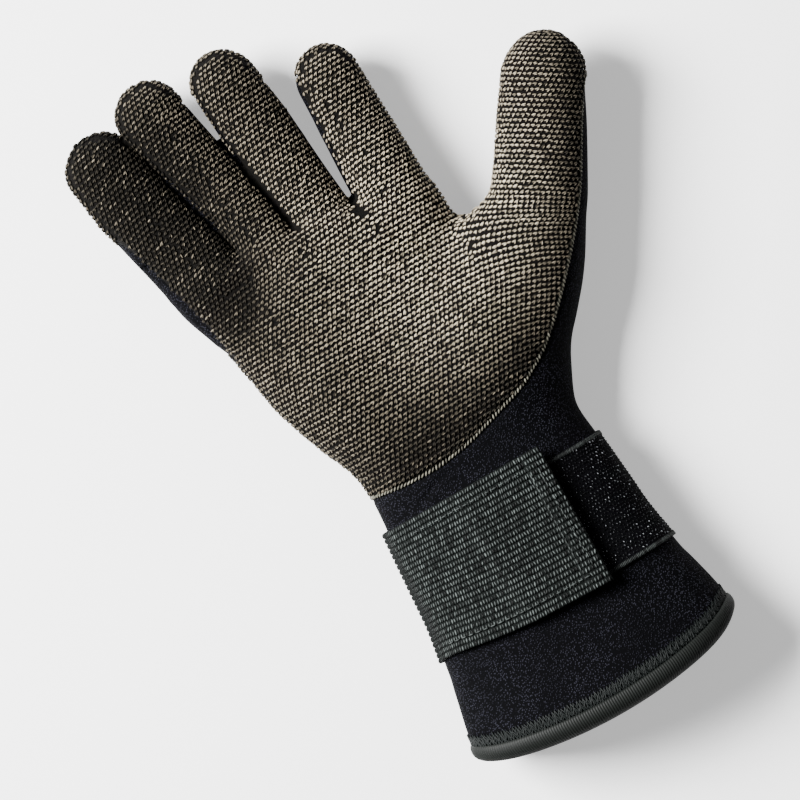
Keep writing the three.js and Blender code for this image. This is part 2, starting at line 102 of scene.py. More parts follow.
# Cuff sections: share of the cuff's length, and share of the way from the wrist's size to the hem's
CUFF_ROWS = np.array((
    (-1.0, 1.0), (-0.89, 0.93), (-0.78, 0.77), (-0.66, 0.61), (-0.55, 0.49),
    (-0.42, 0.31), (-0.28, 0.23), (-0.14, 0.13), (0.0, 0.0),
))

# Palm sections: along, in shares of the palm's length, middle and half in shares of its width, and
# high in shares of its height
PALM_ROWS = np.array((
    (0.076, 0.008, 0.405, 0.97), (0.136, 0.022, 0.42, 0.98), (0.195, 0.021, 0.434, 1.0),
    (0.263, 0.007, 0.453, 1.02), (0.322, -0.011, 0.462, 1.02), (0.407, -0.04, 0.463, 1.01),
    (0.49, -0.065, 0.466, 1.0), (0.66, -0.096, 0.471, 0.98), (0.83, -0.126, 0.486, 0.93),
    (0.93, -0.147, 0.492, 0.88),
))

# Dents and mounds of the palm: x, y, across, long and depth, in shares of its width, length and height
PALM_DENTS = (
    (-0.07, 0.55, 0.2, 0.24, 0.1), (-0.36, 0.34, 0.15, 0.26, -0.1), (0.3, 0.38, 0.22, 0.26, -0.16),
    (-0.42, 0.93, 0.1, 0.12, 0.1), (-0.02, 0.84, 0.4, 0.08, -0.05),
)

# Fingers and thumb. Rows: along in shares of the length, half and shift in shares of the width, low
# and high in shares of the finger's or the thenar's height
LIMBS = {
    "little": dict(
        length=80.6, width=33.0, height=FINGER_HEIGHT, root=(-0.509, 0.958), lean=11.5,
        rows=(
            (-0.2, 0.42, 0.03, 0.1, 1.2), (0.0, 0.485, 0.015, 0.06, 1.22), (0.2, 0.5, 0.005, 0.05, 1.12),
            (0.42, 0.5, -0.032, 0.08, 1.08), (0.62, 0.48, -0.058, 0.16, 1.12),
            (0.82, 0.45, -0.058, 0.28, 1.18),
        ),
    ),
    "ring": dict(
        length=85.8, width=27.4, height=FINGER_HEIGHT, root=(-0.259, 0.983), lean=11.8,
        rows=(
            (-0.2, 0.4, 0.01, 0.1, 1.25), (0.0, 0.423, 0.015, 0.05, 1.27),
            (0.25, 0.432, 0.022, 0.06, 1.17), (0.45, 0.462, 0.002, 0.12, 1.15),
            (0.65, 0.49, -0.015, 0.2, 1.2), (0.84, 0.49, -0.03, 0.34, 1.28),
        ),
    ),
    "middle": dict(
        length=83.9, width=28.2, height=FINGER_HEIGHT, root=(-0.036, 0.958), lean=5.8,
        rows=(
            (-0.2, 0.42, 0.0, 0.1, 1.25), (0.0, 0.44, -0.012, 0.05, 1.28),
            (0.25, 0.465, -0.03, 0.06, 1.19), (0.45, 0.492, -0.05, 0.12, 1.17),
            (0.65, 0.497, -0.067, 0.22, 1.22), (0.83, 0.475, -0.06, 0.34, 1.3),
        ),
    ),
    "index": dict(
        length=69.5, width=29.6, height=FINGER_HEIGHT, root=(0.214, 0.915), lean=-0.8,
        rows=(
            (-0.2, 0.44, -0.01, 0.1, 1.27), (0.0, 0.5, -0.012, 0.06, 1.3),
            (0.3, 0.482, -0.018, 0.05, 1.21), (0.55, 0.466, -0.01, 0.12, 1.15),
            (0.8, 0.435, -0.003, 0.26, 1.2),
        ),
    ),
    "thumb": dict(
        length=149.5, width=38.0, height=THENAR_HEIGHT, root=(0.267, 0.084), lean=THUMB_LEAN,
        rows=(
            (-0.04, 0.5, -0.34, 0.12, 0.6), (0.04, 0.7, -0.37, 0.05, 0.73),
            (0.13, 0.76, -0.42, 0.0, 0.83), (0.24, 0.76, -0.33, -0.02, 0.9),
            (0.335, 0.74, -0.26, -0.02, 0.93), (0.41, 0.7, -0.2, 0.01, 0.92),
            (0.47, 0.678, -0.178, 0.04, 0.89), (0.5, 0.63, -0.13, 0.06, 0.875),
            (0.525, 0.56, -0.06, 0.08, 0.86), (0.555, 0.512, 0.0, 0.1, 0.85),
            (0.65, 0.49, 0.0, 0.13, 0.83), (0.77, 0.47, 0.0, 0.16, 0.83), (0.87, 0.446, 0.0, 0.2, 0.84),
        ),
    ),
}
FINGERS = ("little", "ring", "middle", "index")

# The palm panel's lower seam, in shares of the palm's width and length
HEEL_SEAM = (
    (-0.52, 0.1), (-0.397, 0.082), (-0.268, 0.064), (-0.134, 0.062), (0.0, 0.08), (0.134, 0.119),
    (0.268, 0.157), (0.4, 0.229),
)

# The seam on the thumb's outer side, on the little finger's outer side and on the edge of the hand:
# along in shares of the length, and inset from the outer edge in shares of the width
THUMB_SEAM = (
    (0.255, 0.224), (0.375, 0.18), (0.5, 0.11), (0.6, 0.085), (0.76, 0.07), (0.88, 0.03), (1.06, -0.15),
)
LITTLE_SEAM = ((0.62, -0.12), (0.5, 0.01), (0.38, 0.08), (0.2, 0.085), (0.02, 0.085))
EDGE_SEAM = ((0.83, 0.018), (0.73, 0.005), (0.62, -0.04), (0.3, -0.12))

# Height of the side seams, in shares of the palm's length and height
SEAM_HEIGHTS = np.array(((-0.3, 0.45), (0.3, 0.45), (0.7, 0.44), (1.0, 0.4), (1.35, 0.41), (1.75, 0.52)))

FOURCHETTE_ROOT = -0.03
FOURCHETTE_END = 0.84
FAR_AWAY = 3 * PALM_LENGTH

# Widths over which fields run into each other, and the steps in which lines are sampled
FLAT_BLEND = 1.5
FINGER_BLEND = 2.0
KNUCKLE_BLEND = 5.0
THUMB_BLEND = 9.0
SECTION_SPREAD = 3.0
TABLE_STEP = 0.5
TINY = 1e-9

# The unevenness of the foam: waves with their lengths along x, y and z and their phase, and how strong
WAVES = (
    (7.9, 13.0, math.inf, 1.3), (-12.3, 8.7, 9.0, 0.0), (17.0, -10.9, math.inf, 4.1), (9.1, -21.0, 6.3, 0.0),
)
WAVE_HEIGHT = 0.14

# The crease above the strap: where it starts, its run, its bend, and its hollow and rim as depth, distance
# and half width
CREASE_START = (-27.0, -2.0)
CREASE_RUN = (17.0, 6.0)
CREASE_LENGTH = 18.0
CREASE_BEND = 1.5
CREASE_HOLLOW = (0.4, 0.0, 1.2)
CREASE_RIM = (0.25, 2.6, 1.6)


def ramp(value, start, end):
    """Smooth step: 3t^2 - 2t^3, with t going from 0 at start to 1 at end."""
    t = np.clip((value - start) / (end - start), 0.0, 1.0)
    return t * t * (3 - 2 * t)


def bell_curve(spread, step):
    """A bell curve's weights out to four times its spread, with a sum of one."""
    reach = int(4 * spread / step)
    bell = np.exp(-0.5 * (np.arange(-reach, reach + 1) * step / spread) ** 2)
    return bell / bell.sum(), reach


def arc_lengths(points):
    """The length along a line of points, from nothing at its first."""
    return np.concatenate(((0,), np.cumsum(np.linalg.norm(np.diff(points, axis=0), axis=1))))


def softened(places, columns, spread):
    """Rows joined by straight lines, sampled each half millimetre and smoothed by a bell curve."""
    grid = np.arange(places[0] - 4 * spread, places[-1] + 4 * spread, TABLE_STEP)
    bell, reach = bell_curve(spread, TABLE_STEP)
    table = {}
    for name, values in columns.items():
        line = np.interp(grid, places, values)
        table[name] = np.convolve(np.pad(line, reach, mode="edge"), bell, mode="valid")
    return grid, table


def look_up(table, name, place):
    """A softened column at a place, or at many."""
    grid, columns = table
    return np.interp(place, grid, columns[name])


def smooth_min(a, b, width):
    """The lower of two fields, rounded where they differ by less than a width."""
    blend = np.clip(width - np.abs(a - b), 0.0, None) / width
    return np.minimum(a, b) - blend * blend * width / 4


def rounded_distance(across, up, past, half, tall, reach):
    """Distance to a superellipse section that closes over a dome: (r - 1) divided by the slope of r."""
    u = np.abs(across) / half
    v = np.abs(up) / tall
    w = past / reach
    section = (u**ROUNDNESS + v**ROUNDNESS) ** (1 / ROUNDNESS) + 1e-6
    slope = np.hypot(
        (u / section) ** (ROUNDNESS - 1) / half, (v / section) ** (ROUNDNESS - 1) / tall
    )
    radius = np.hypot(section, w)
    return (radius - 1) * radius / np.hypot(section * slope, w / reach)


# The hand's own sections in millimetres, cuff and palm in one table
hand_table = softened(
    np.concatenate((CUFF_ROWS[:, 0] * CUFF_LENGTH, PALM_ROWS[:, 0] * PALM_LENGTH)),
    {
        "middle": np.concatenate((CUFF_ROWS[:, 0] * 0, PALM_ROWS[:, 1] * PALM_WIDTH)),
        "half": np.concatenate((
            (WRIST_WIDTH + CUFF_ROWS[:, 1] * (HEM_WIDTH - WRIST_WIDTH)) / 2,
            PALM_ROWS[:, 2] * PALM_WIDTH,
        )),
        "high": np.concatenate((
            WRIST_HEIGHT + CUFF_ROWS[:, 1] * (HEM_HEIGHT - WRIST_HEIGHT),
            PALM_ROWS[:, 3] * PALM_HEIGHT,
        )),
    },
    SECTION_SPREAD,
)
FRONT_ALONG = PALM_ROWS[-1, 0] * PALM_LENGTH
FRONT_MIDDLE = PALM_ROWS[-1, 1] * PALM_WIDTH
HEM_LIFT = BINDING_THICKNESS + CLEARANCE


def hand(name, along):
    """A column of the hand's sections at a place along it."""
    return look_up(hand_table, name, along)


def palm_dent(x, y):
    """How far the dents pull the palm's upper side down: a sum of bell-shaped hollows."""
    pull = np.zeros(np.broadcast(x, y).shape)
    for at_x, at_y, across, long, depth in PALM_DENTS:
        dx = (x / PALM_WIDTH - at_x) / across
        dy = (y / PALM_LENGTH - at_y) / long
        pull = pull + depth * PALM_HEIGHT * np.exp(-dx * dx - dy * dy)
    return pull


def hem_floor(along):
    """The cuff's underside is lifted near the hem by what the binding takes."""
    lowest = 3 * BINDING_WIDTH
    return HEM_LIFT * ramp(-along, CUFF_LENGTH - lowest, CUFF_LENGTH - BINDING_WIDTH)


def hem_bow(along, side):
    """How far the cuff stands back from its middle: by the square of the side share, and more where the
    corners are rounded, from nothing at mid cuff to the hem."""
    corner = np.abs(side) ** 9 * np.where(side > 0, CORNER_RIGHT, CORNER_LEFT)
    return (HEM_BOW * side * side + corner) * ramp(-along, CUFF_LENGTH / 2, CUFF_LENGTH)


def straight_along(x, y):
    """The place along the cuff of a point whose y includes the hem's bow."""
    along = y
    for _ in range(3):
        side = np.clip((x - hand("middle", along)) / hand("half", along), -1, 1)
        along = y - hem_bow(along, side)
    return along


def hand_distance(x, y, z):
    """The field of cuff and palm: below nought inside."""
    along = straight_along(x, y)
    middle = hand("middle", along)
    half = hand("half", along)
    high = hand("high", along)
    level = (high - REST_FLAT) / 2
    tall = (high + REST_FLAT) / 2
    upward = np.clip((z - level) / tall, 0, 1) ** (ROUNDNESS / 2)
    dented = z + palm_dent(x, along) * upward
    front = FRONT_ALONG - (x - FRONT_MIDDLE) * KNUCKLE_SLOPE * 0.7
    past = np.clip(along - front, 0, None)
    skin = rounded_distance(x - middle, dented - level, past, half, tall, FRONT_DEPTH)
    return -smooth_min(-skin, z - hem_floor(along), FLAT_BLEND)


def hand_point(along, angle, outset):
    """A point of the cuff at a place along it: a superellipse flattened below, bowed at the hem."""
    along, angle, outset = np.broadcast_arrays(along, angle, outset)
    cosine = np.cos(angle)
    sine = np.sin(angle)
    side = np.sign(cosine) * np.abs(cosine) ** (2 / ROUNDNESS)
    lift = np.sign(sine) * np.abs(sine) ** (2 / ROUNDNESS)
    middle = hand("middle", along)
    high = hand("high", along)
    x = middle + (hand("half", along) + outset) * side
    z = (high - REST_FLAT) / 2 + ((high + REST_FLAT) / 2 + outset) * lift
    z = np.maximum(z, hem_floor(along) - outset)
    z = z - palm_dent(x, along) * np.clip(sine, 0, None)
    return np.stack((x, along + hem_bow(along, side), z), axis=-1)


def angle_at(along, x):
    """The angle at which a section of the hand crosses a given x on the palm side."""
    share = (x - hand("middle", along)) / hand("half", along)
    return np.arccos(np.sign(share) * np.abs(share) ** (ROUNDNESS / 2))


class Limb:
    """A finger or thumb: its own frame, its softened sections and its round tip."""

    def __init__(self, name, length, width, height, root, lean, rows):
        rows = np.array(rows)
        turn = math.radians(lean)
        self.name = name
        self.length = length
        self.width = width
        self.root = np.array(root) * (PALM_WIDTH, PALM_LENGTH)
        self.along = np.array((-math.sin(turn), math.cos(turn)))
        self.across = np.array((math.cos(turn), math.sin(turn)))
        self.first = rows[0, 0] * length
        self.last = rows[-1, 0] * length
        self.dome = length - self.last
        columns = {
            "half": rows[:, 1] * width - FINGER_GAP / 2,
            "shift": rows[:, 2] * width,
            "low": rows[:, 3] * height,
            "high": rows[:, 4] * height,
        }
        self.table = softened(rows[:, 0] * length, columns, SECTION_SPREAD)

    def local(self, x, y):
        """Distance along the middle line and across it."""
        dx = x - self.root[0]
        dy = y - self.root[1]
        return dx * self.along[0] + dy * self.along[1], dx * self.across[0] + dy * self.across[1]

    def at(self, s, n):
        """The place in plan of a distance along and one across."""
        return self.root + np.multiply.outer(s, self.along) + np.multiply.outer(n, self.across)

    def column(self, name, s):
        return look_up(self.table, name, s)

    def distance(self, x, y, z):
        """The limb's field: sections between low and high that close over a dome at the tip."""
        s, n = self.local(x, y)
        half = self.column("half", s)
        low = self.column("low", s)
        high = self.column("high", s)
        past = np.clip(s - self.last, 0, None) + np.clip(self.first - s, 0, None) * 1.5
        skin = rounded_distance(
            n - self.column("shift", s), z - (low + high) / 2, past, half, (high - low) / 2, self.dome
        )
        return -smooth_min(-skin, z, FLAT_BLEND)


limbs = {name: Limb(name, **facts) for name, facts in LIMBS.items()}


def relief(x, y, z):
    """Soft unevenness of sewn neoprene in millimetres: four long waves and the crease above the strap."""
    waves = sum(np.sin(x / a + y / b + z / c + phase) for a, b, c, phase in WAVES)
    covered = ramp(y, -74, -68) * (1 - ramp(y, -4, 2))
    at_hem = 1 - ramp(y, -104, -92)
    dx, dy = x - CREASE_START[0], y - CREASE_START[1]
    run_x, run_y = CREASE_RUN
    along = np.clip((dx * run_x + dy * run_y) / (run_x**2 + run_y**2), 0, 1)
    aside = (dy * run_x - dx * run_y) / CREASE_LENGTH
    away = np.abs(aside - CREASE_BEND * np.sin(along * math.pi))
    in_reach = ramp(x, -32, -25) * (1 - ramp(x, -12, -6)) * ramp(z, 20, 26)
    hollow, rim = (
        deep * np.exp(-(((away - far) / half) ** 2)) for deep, far, half in (CREASE_HOLLOW, CREASE_RIM)
    )
    return WAVE_HEIGHT * waves * (1 - covered) * (1 - at_hem) - (hollow - rim) * in_reach


def fingers_distance(x, y, z):
    """All four fingers, with a narrow rounding where two touch."""
    total = None
    for name in FINGERS:
        own = limbs[name].distance(x, y, z)
        total = own if total is None else smooth_min(total, own, FINGER_BLEND)
    return total


def field(x, y, z):
    """The whole glove's skin: hand, fingers and thumb run into each other."""
    total = smooth_min(hand_distance(x, y, z), fingers_distance(x, y, z), KNUCKLE_BLEND)
    total = smooth_min(total, limbs["thumb"].distance(x, y, z), THUMB_BLEND)
    return -smooth_min(relief(x, y, z) - total, z, 1.0)


def field_at(points):
    return field(points[:, 0], points[:, 1], points[:, 2])


def slope_at(points):
    """The field's slope by differences of a quarter of a millimetre."""
    step = 0.25
    columns = []
    for axis in range(3):
        shift = np.zeros(3)
        shift[axis] = step
        columns.append((field_at(points + shift) - field_at(points - shift)) / (2 * step))
    return np.stack(columns, axis=1)


def unit(vectors):
    return vectors / np.maximum(np.linalg.norm(vectors, axis=-1, keepdims=True), TINY)


def along_surface(vectors, normals):
    """What is left of vectors without their share along the normals."""
    return vectors - (vectors * normals).sum(axis=1, keepdims=True) * normals


def turned(first, second, angle):
    """Directions at an angle from the first ones towards the second ones."""
    return first * np.cos(angle)[..., None] + second * np.sin(angle)[..., None]


def onto_skin(points, steps=3):
    """Points moved to the skin by Newton steps along the slope, of a millimetre and a half at most."""
    for _ in range(steps):
        slope = slope_at(points)
        size = np.maximum((slope * slope).sum(axis=1), 0.2)
        move = np.clip(field_at(points) / size, -1.5, 1.5)
        points = points - move[:, None] * slope
    return points


def surface_net(values, lowest, step):
    """A quad mesh of the nought level: one vertex in each mixed cell, at the mean of its crossings."""
    inside = values < 0
    sides = (slice(0, -1), slice(1, None))
    count = sum(inside[i, j, k].astype(int) for i in sides for j in sides for k in sides)
    mixed = (count > 0) & (count < 8)
    cells = np.argwhere(mixed)
    total = np.zeros(cells.shape)
    hits = np.zeros(len(cells))
    units = np.eye(3, dtype=int)
    for axis in range(3):
        b, c = (axis + 1) % 3, (axis + 2) % 3
        for i in (0, 1):
            for j in (0, 1):
                start = cells + i * units[b] + j * units[c]
                first = values[tuple(start.T)]
                last = values[tuple((start + units[axis]).T)]
                crossing = (first < 0) != (last < 0)
                share = np.where(crossing, first / np.where(crossing, first - last, 1), 0)
                total += (start + share[:, None] * units[axis]) * crossing[:, None]
                hits += crossing
    number = np.full(mixed.shape, -1)
    number[mixed] = np.arange(len(cells))
    quads = []
    for axis in range(3):
        b, c = units[(axis + 1) % 3], units[(axis + 2) % 3]
        near, far = (
            inside[tuple(side if way == axis else slice(None) for way in range(3))] for side in sides
        )
        edges = np.argwhere(near != far)
        limit = np.array(mixed.shape)
        held = np.all((edges - b - c >= 0) & (edges < limit), axis=1)
        edges = edges[held]
        ring = [number[tuple(cell.T)] for cell in (edges - b - c, edges - c, edges, edges - b)]
        quad = np.stack(ring, axis=1)
        outwards = inside[tuple(edges.T)]
        quads.append(np.where(outwards[:, None], quad, quad[:, ::-1]))
    return lowest + step * total / hits[:, None], np.concatenate(quads)


def neighbour_mean(points, quads):
    """Each vertex's mean neighbour along the quads' edges."""
    first = quads.ravel()
    second = np.roll(quads, -1, axis=1).ravel()
    ends = np.concatenate((first, second))
    others = np.concatenate((second, first))
    count = np.bincount(ends, minlength=len(points))
    sums = [np.bincount(ends, weights=points[others, axis], minlength=len(points)) for axis in range(3)]
    return np.stack(sums, axis=1) / np.maximum(count, 1)[:, None]


def seam_height(y):
    return np.interp(y / PALM_LENGTH, SEAM_HEIGHTS[:, 0], SEAM_HEIGHTS[:, 1]) * PALM_HEIGHT


def rounded_line(points, spread):
    """A line through points, sampled each millimetre and smoothed by a bell curve."""
    points = np.array(points, float)
    lengths = arc_lengths(points)
    even = np.arange(0, lengths[-1], 1.0)
    bell, reach = bell_curve(spread, 1.0)
    columns = []
    for axis in range(2):
        line = np.interp(even, lengths, points[:, axis])
        before = line[0] - (line[1] - line[0]) * np.arange(reach, 0, -1)
        after = line[-1] + (line[-1] - line[-2]) * np.arange(1, reach + 1)
        columns.append(np.convolve(np.concatenate((before, line, after)), bell, mode="valid"))
    return np.stack(columns, axis=1)


def outer_edge(limb, along, inset, side):
    """The place in plan that is inset from a limb's outer edge."""
    s = along * limb.length
    n = limb.column("shift", s) + side * (limb.column("half", s) - inset * limb.width)
    return limb.at(s, n)


def palm_outline():
    """The palm panel's outline in plan: the heel, the thumb's outer side, and the little finger's."""
    lower = [np.array(p) * (PALM_WIDTH, PALM_LENGTH) for p in HEEL_SEAM]
    lower += [outer_edge(limbs["thumb"], along, inset, 1) for along, inset in THUMB_SEAM]
    upper = [outer_edge(limbs["little"], along, inset, -1) for along, inset in LITTLE_SEAM]
    for along, inset in EDGE_SEAM:
        y = along * PALM_LENGTH
        edge = hand("middle", y) - hand("half", y)
        upper.append(np.array((edge + inset * PALM_WIDTH, y)))
    lower = rounded_line(lower, 4.0)
    upper = rounded_line(upper, 3.0)
    corners = np.array(((FAR_AWAY, FAR_AWAY), (-FAR_AWAY, FAR_AWAY)))
    return lower, np.concatenate((lower, corners, upper))


def depth_in_outline(points, outline, chunk=20000):
    """Signed distance in plan from an outline's sides, above nought inside."""
    first = outline
    last = np.roll(outline, -1, axis=0)
    side = last - first
    size = np.maximum((side * side).sum(axis=1), TINY)
    rise = np.where(side[:, 1] == 0, TINY, side[:, 1])
    found = []
    for start in range(0, len(points), chunk):
        p = points[start : start + chunk, None, :]
        t = np.clip(((p - first) * side).sum(axis=2) / size, 0, 1)
        away = np.linalg.norm(p - first - t[..., None] * side, axis=2).min(axis=1)
        rises = (first[:, 1] > p[..., 1]) != (last[:, 1] > p[..., 1])
        crossing = first[:, 0] + (p[..., 1] - first[:, 1]) * side[:, 0] / rise
        inside = (rises & (p[..., 0] < crossing)).sum(axis=1) % 2 == 1
        found.append(np.where(inside, away, -away))
    return np.concatenate(found)


heel_line, palm_edge = palm_outline()


def fourchette_outline(first, second):
    """The four-sided place of a fourchette in plan, from one finger's middle line to the next one's."""
    corners = []
    for limb, along in ((first, FOURCHETTE_ROOT), (second, FOURCHETTE_ROOT),
                        (second, FOURCHETTE_END), (first, FOURCHETTE_END)):
        s = along * limb.length
        corners.append(limb.at(s, limb.column("shift", max(s, 0.0))))
    return np.array(corners)


def panel_depths(points):
    """How deep points lie in the palm panel, and in each of the three fourchettes."""
    plan = points[:, :2]
    level = seam_height(points[:, 1])
    depths = [np.minimum(depth_in_outline(plan, palm_edge), points[:, 2] - level)]
    for first, second, height in zip(FINGERS[:-1], FINGERS[1:], FOURCHETTE_HEIGHTS):
        outline = fourchette_outline(limbs[first], limbs[second])
        band = height / 2 - np.abs(points[:, 2] - level)
        depths.append(np.minimum(depth_in_outline(plan, outline), band))
    return np.stack(depths, axis=1)


def panel_of(depths):
    """Each point's panel: 0 back and cuff, 1 palm, 2 to 4 fourchettes."""
    panel = np.where(depths[:, 0] > 0, 1, 0)
    for index in (1, 2, 3):
        panel = np.where(depths[:, index] > 0, index + 1, panel)
    return panel


# Mesh making

def joined(parts):
    """Several meshes of points, quads and attributes as one."""
    counts = np.cumsum([0] + [len(points) for points, _, _ in parts])
    quads = [quads + count for (_, quads, _), count in zip(parts, counts)]
    keys = parts[0][2]
    attributes = {key: np.concatenate([held[key] for _, _, held in parts]) for key in keys}
    return np.concatenate([points for points, _, _ in parts]), np.concatenate(quads), attributes


def new_piece(name, points, quads, attributes, materials, slot=None, replaces=()):
    """A piece from points in millimetres in the wrist's frame. Quads may be triangles too."""
    mesh = bpy.data.meshes.new(name)
    points = np.asarray(points, np.float64).reshape(-1, 3) + WRIST
    faces = np.asarray(quads, np.int32)
    sides = faces.shape[1]
    mesh.vertices.add(len(points))
    mesh.vertices.foreach_set("co", (points * 0.001).astype(np.float32).ravel())
    mesh.loops.add(faces.size)
    mesh.loops.foreach_set("vertex_index", faces.ravel())
    mesh.polygons.add(len(faces))
    mesh.polygons.foreach_set("loop_start", np.arange(0, faces.size, sides, dtype=np.int32))
    mesh.polygons.foreach_set("use_smooth", np.ones(len(faces), bool))
    for key, values in attributes.items():
        layer = mesh.attributes.new(key, "FLOAT", "POINT")
        layer.data.foreach_set("value", np.asarray(values, np.float32).ravel())
    mesh.update(calc_edges=True)
    mesh.validate()
    for material in materials:
        mesh.materials.append(material)
    piece = bpy.data.objects.new(name, mesh)
    bpy.context.scene.collection.objects.link(piece)
    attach(piece, "root")
    if replaces:
        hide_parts(*replaces)
    return piece


def grid_quads(rows, columns, wrap_rows=False, wrap_columns=False):
    """Quads of a grid whose points are numbered row by row."""
    i = np.arange(rows if wrap_rows else rows - 1)[:, None]
    j = np.arange(columns if wrap_columns else columns - 1)[None, :]
    next_i = (i + 1) % rows
    next_j = (j + 1) % columns
    corners = (i * columns + j, next_i * columns + j, next_i * columns + next_j, i * columns + next_j)
    return np.stack(np.broadcast_arrays(*corners), axis=-1).reshape(-1, 4)


def slab_piece(outer, inner):
    """A closed sheet from its outer and inner grids: a ring of both, carried along, with its two ends
    filled by quads between the faces."""
    rows, columns = outer.shape[:2]
    ring = np.concatenate((outer, inner[:, ::-1]), axis=1)
    quads = grid_quads(rows, 2 * columns, wrap_columns=True)
    ends = []
    j = np.arange(columns - 1)
    for row, flipped in ((0, False), (rows - 1, True)):
        base = row * 2 * columns
        far = base + 2 * columns - 1
        cap = np.stack((base + j, base + j + 1, far - 1 - j, far - j), axis=1)
        ends.append(cap[:, ::-1] if flipped else cap)
    return ring.reshape(-1, 3), np.concatenate((quads, *ends))


# A grain of yarn: a six-sided base, a waist and a shoulder ring, closed above and below by quads
GRAIN_SIDES = 6
GRAIN_TURNS = (np.arange(GRAIN_SIDES) + 0.5) * 2 * math.pi / GRAIN_SIDES
GRAIN_RINGS = ((0.85, -0.35), (1.0, 0.3), (0.58, 0.9))


def grain_template():
    points = []
    for size, high in GRAIN_RINGS:
        level = np.full(GRAIN_SIDES, high)
        points.append(np.stack((np.cos(GRAIN_TURNS) * size, np.sin(GRAIN_TURNS) * size, level), axis=1))
    points = np.concatenate(points)
    quads = grid_quads(len(GRAIN_RINGS), GRAIN_SIDES, wrap_columns=True)
    cap = np.array(((0, 1, 2, 3), (0, 3, 4, 5)))
    top = cap + len(points) - GRAIN_SIDES
    return points, np.concatenate((quads[:, ::-1], top, cap[:, ::-1]))


def grains(centres, normals, alongs, length, width, height, tones):
    """Grains of yarn laid on a surface: each template point is carried to its own centre and frame."""
    template, quads = grain_template()
    normals = unit(normals)
    alongs = unit(along_surface(alongs, normals))
    asides = np.cross(normals, alongs)
    sizes = (length, width, height)
    length, width, height = (np.broadcast_to(size, len(centres))[:, None, None] for size in sizes)
    points = (
        centres[:, None]
        + template[None, :, 0:1] * length / 2 * alongs[:, None]
        + template[None, :, 1:2] * width / 2 * asides[:, None]
        + template[None, :, 2:3] * height * normals[:, None]
    )
    faces = quads[None] + len(template) * np.arange(len(centres))[:, None, None]
    # Rise is the height in the grain; the yarn and thread materials turn it into painted shade low down and
    # a painted highlight on top.
    rise = np.broadcast_to(np.clip(template[:, 2], 0, 1), (len(centres), len(template)))
    tone = np.broadcast_to(np.asarray(tones)[:, None], rise.shape)
    return points.reshape(-1, 3), faces.reshape(-1, 4), {"rise": rise.ravel(), "tone": tone.ravel()}


# Materials

def colour(code):
    """An sRGB hex value as linear colour."""
    channels = [int(code[i : i + 2], 16) / 255 for i in (1, 3, 5)]
    linear = [c / 12.92 if c <= 0.04045 else ((c + 0.055) / 1.055) ** 2.4 for c in channels]
    return (*linear, 1.0)


def add(tree, kind, inputs=None, **settings):
    """Adds a node with its settings, and its inputs as values or as links."""
    made = tree.nodes.new(kind)
    for key, value in settings.items():
        setattr(made, key, value)
    for key, value in (inputs or {}).items():
        if isinstance(value, bpy.types.NodeSocket):
            tree.links.new(value, made.inputs[key])
        else:
            made.inputs[key].default_value = value
    return made


def start_material(name, **sockets):
    """A material with a Principled shader, its sockets set by name, and its tree."""
    material = bpy.data.materials.new(name)
    material.use_nodes = True
    tree = material.node_tree
    shader = tree.nodes["Principled BSDF"]
    for key, value in sockets.items():
        shader.inputs[key.replace("_", " ")].default_value = value
    return material, tree, shader


def per_metre(millimetres):
    """Pattern scale on Object coordinates, which are in metres, for a cell of that size."""
    return 1000.0 / millimetres


def object_place(tree):
    return add(tree, "ShaderNodeTexCoord").outputs["Object"]


def attribute(tree, name):
    """A mesh attribute's value."""
    return add(tree, "ShaderNodeAttribute", attribute_name=name).outputs["Fac"]


def cells(tree, place, size):
    """Distance from the middle of each cell of a fabric's grain."""
    return add(tree, "ShaderNodeTexVoronoi", {"Vector": place, "Scale": per_metre(size)}).outputs["Distance"]


def noise(tree, place, size, detail):
    return add(
        tree, "ShaderNodeTexNoise", {"Vector": place, "Scale": per_metre(size), "Detail": detail}
    ).outputs["Fac"]


def spread_out(tree, value, **limits):
    """A value mapped between the limits that are given by name."""
    inputs = {key.replace("_", " ").title(): limit for key, limit in limits.items()}
    return add(tree, "ShaderNodeMapRange", {"Value": value, **inputs}).outputs[0]


def product(tree, first, second):
    return add(tree, "ShaderNodeMath", {0: first, 1: second}, operation="MULTIPLY").outputs[0]


def two_tone(tree, shader, share, low, high):
    """The base colour goes from one to the other with the share."""
    mix = add(tree, "ShaderNodeMix", {"Factor": share}, data_type="RGBA")
    mix.inputs["A"].default_value = colour(low)
    mix.inputs["B"].default_value = colour(high)
    tree.links.new(mix.outputs["Result"], shader.inputs["Base Color"])


def raised(tree, shader, height, distance, strength, invert=False):
    """Bump whose distance is in metres."""
    inputs = {"Height": height, "Distance": distance, "Strength": strength}
    bump = add(tree, "ShaderNodeBump", inputs, invert=invert)
    tree.links.new(bump.outputs[0], shader.inputs["Normal"])


def grip_yarn(name, valley, body, crest):
    """Cut-resistant aramid yarn knitted into nubs: tan filament, dull, painted pale on the crests as a
    painted highlight and dark down in the gaps between the nubs as painted shade."""
    material, tree, shader = start_material(name, Roughness=0.7, Specular_IOR_Level=0.06)
    ramp_node = add(tree, "ShaderNodeValToRGB", {"Fac": attribute(tree, "rise")})
    stops = ramp_node.color_ramp.elements
    stops.new(0.55)
    for stop, position, code in zip(stops, (0.1, 0.55, 0.9), (valley, body, crest)):
        stop.position, stop.color = position, colour(code)
    fibre = noise(tree, object_place(tree), 0.5, 3.0)
    shade = spread_out(tree, attribute(tree, "tone"), to_min=0.02, to_max=1.5)
    both = product(tree, shade, spread_out(tree, fibre, to_min=0.75, to_max=1.25))
    inputs = {0: ramp_node.outputs[0], "Scale": both}
    tinted = add(tree, "ShaderNodeVectorMath", inputs, operation="SCALE")
    tree.links.new(tinted.outputs[0], shader.inputs["Base Color"])
    raised(tree, shader, fibre, 0.00015, 0.6)
    return material


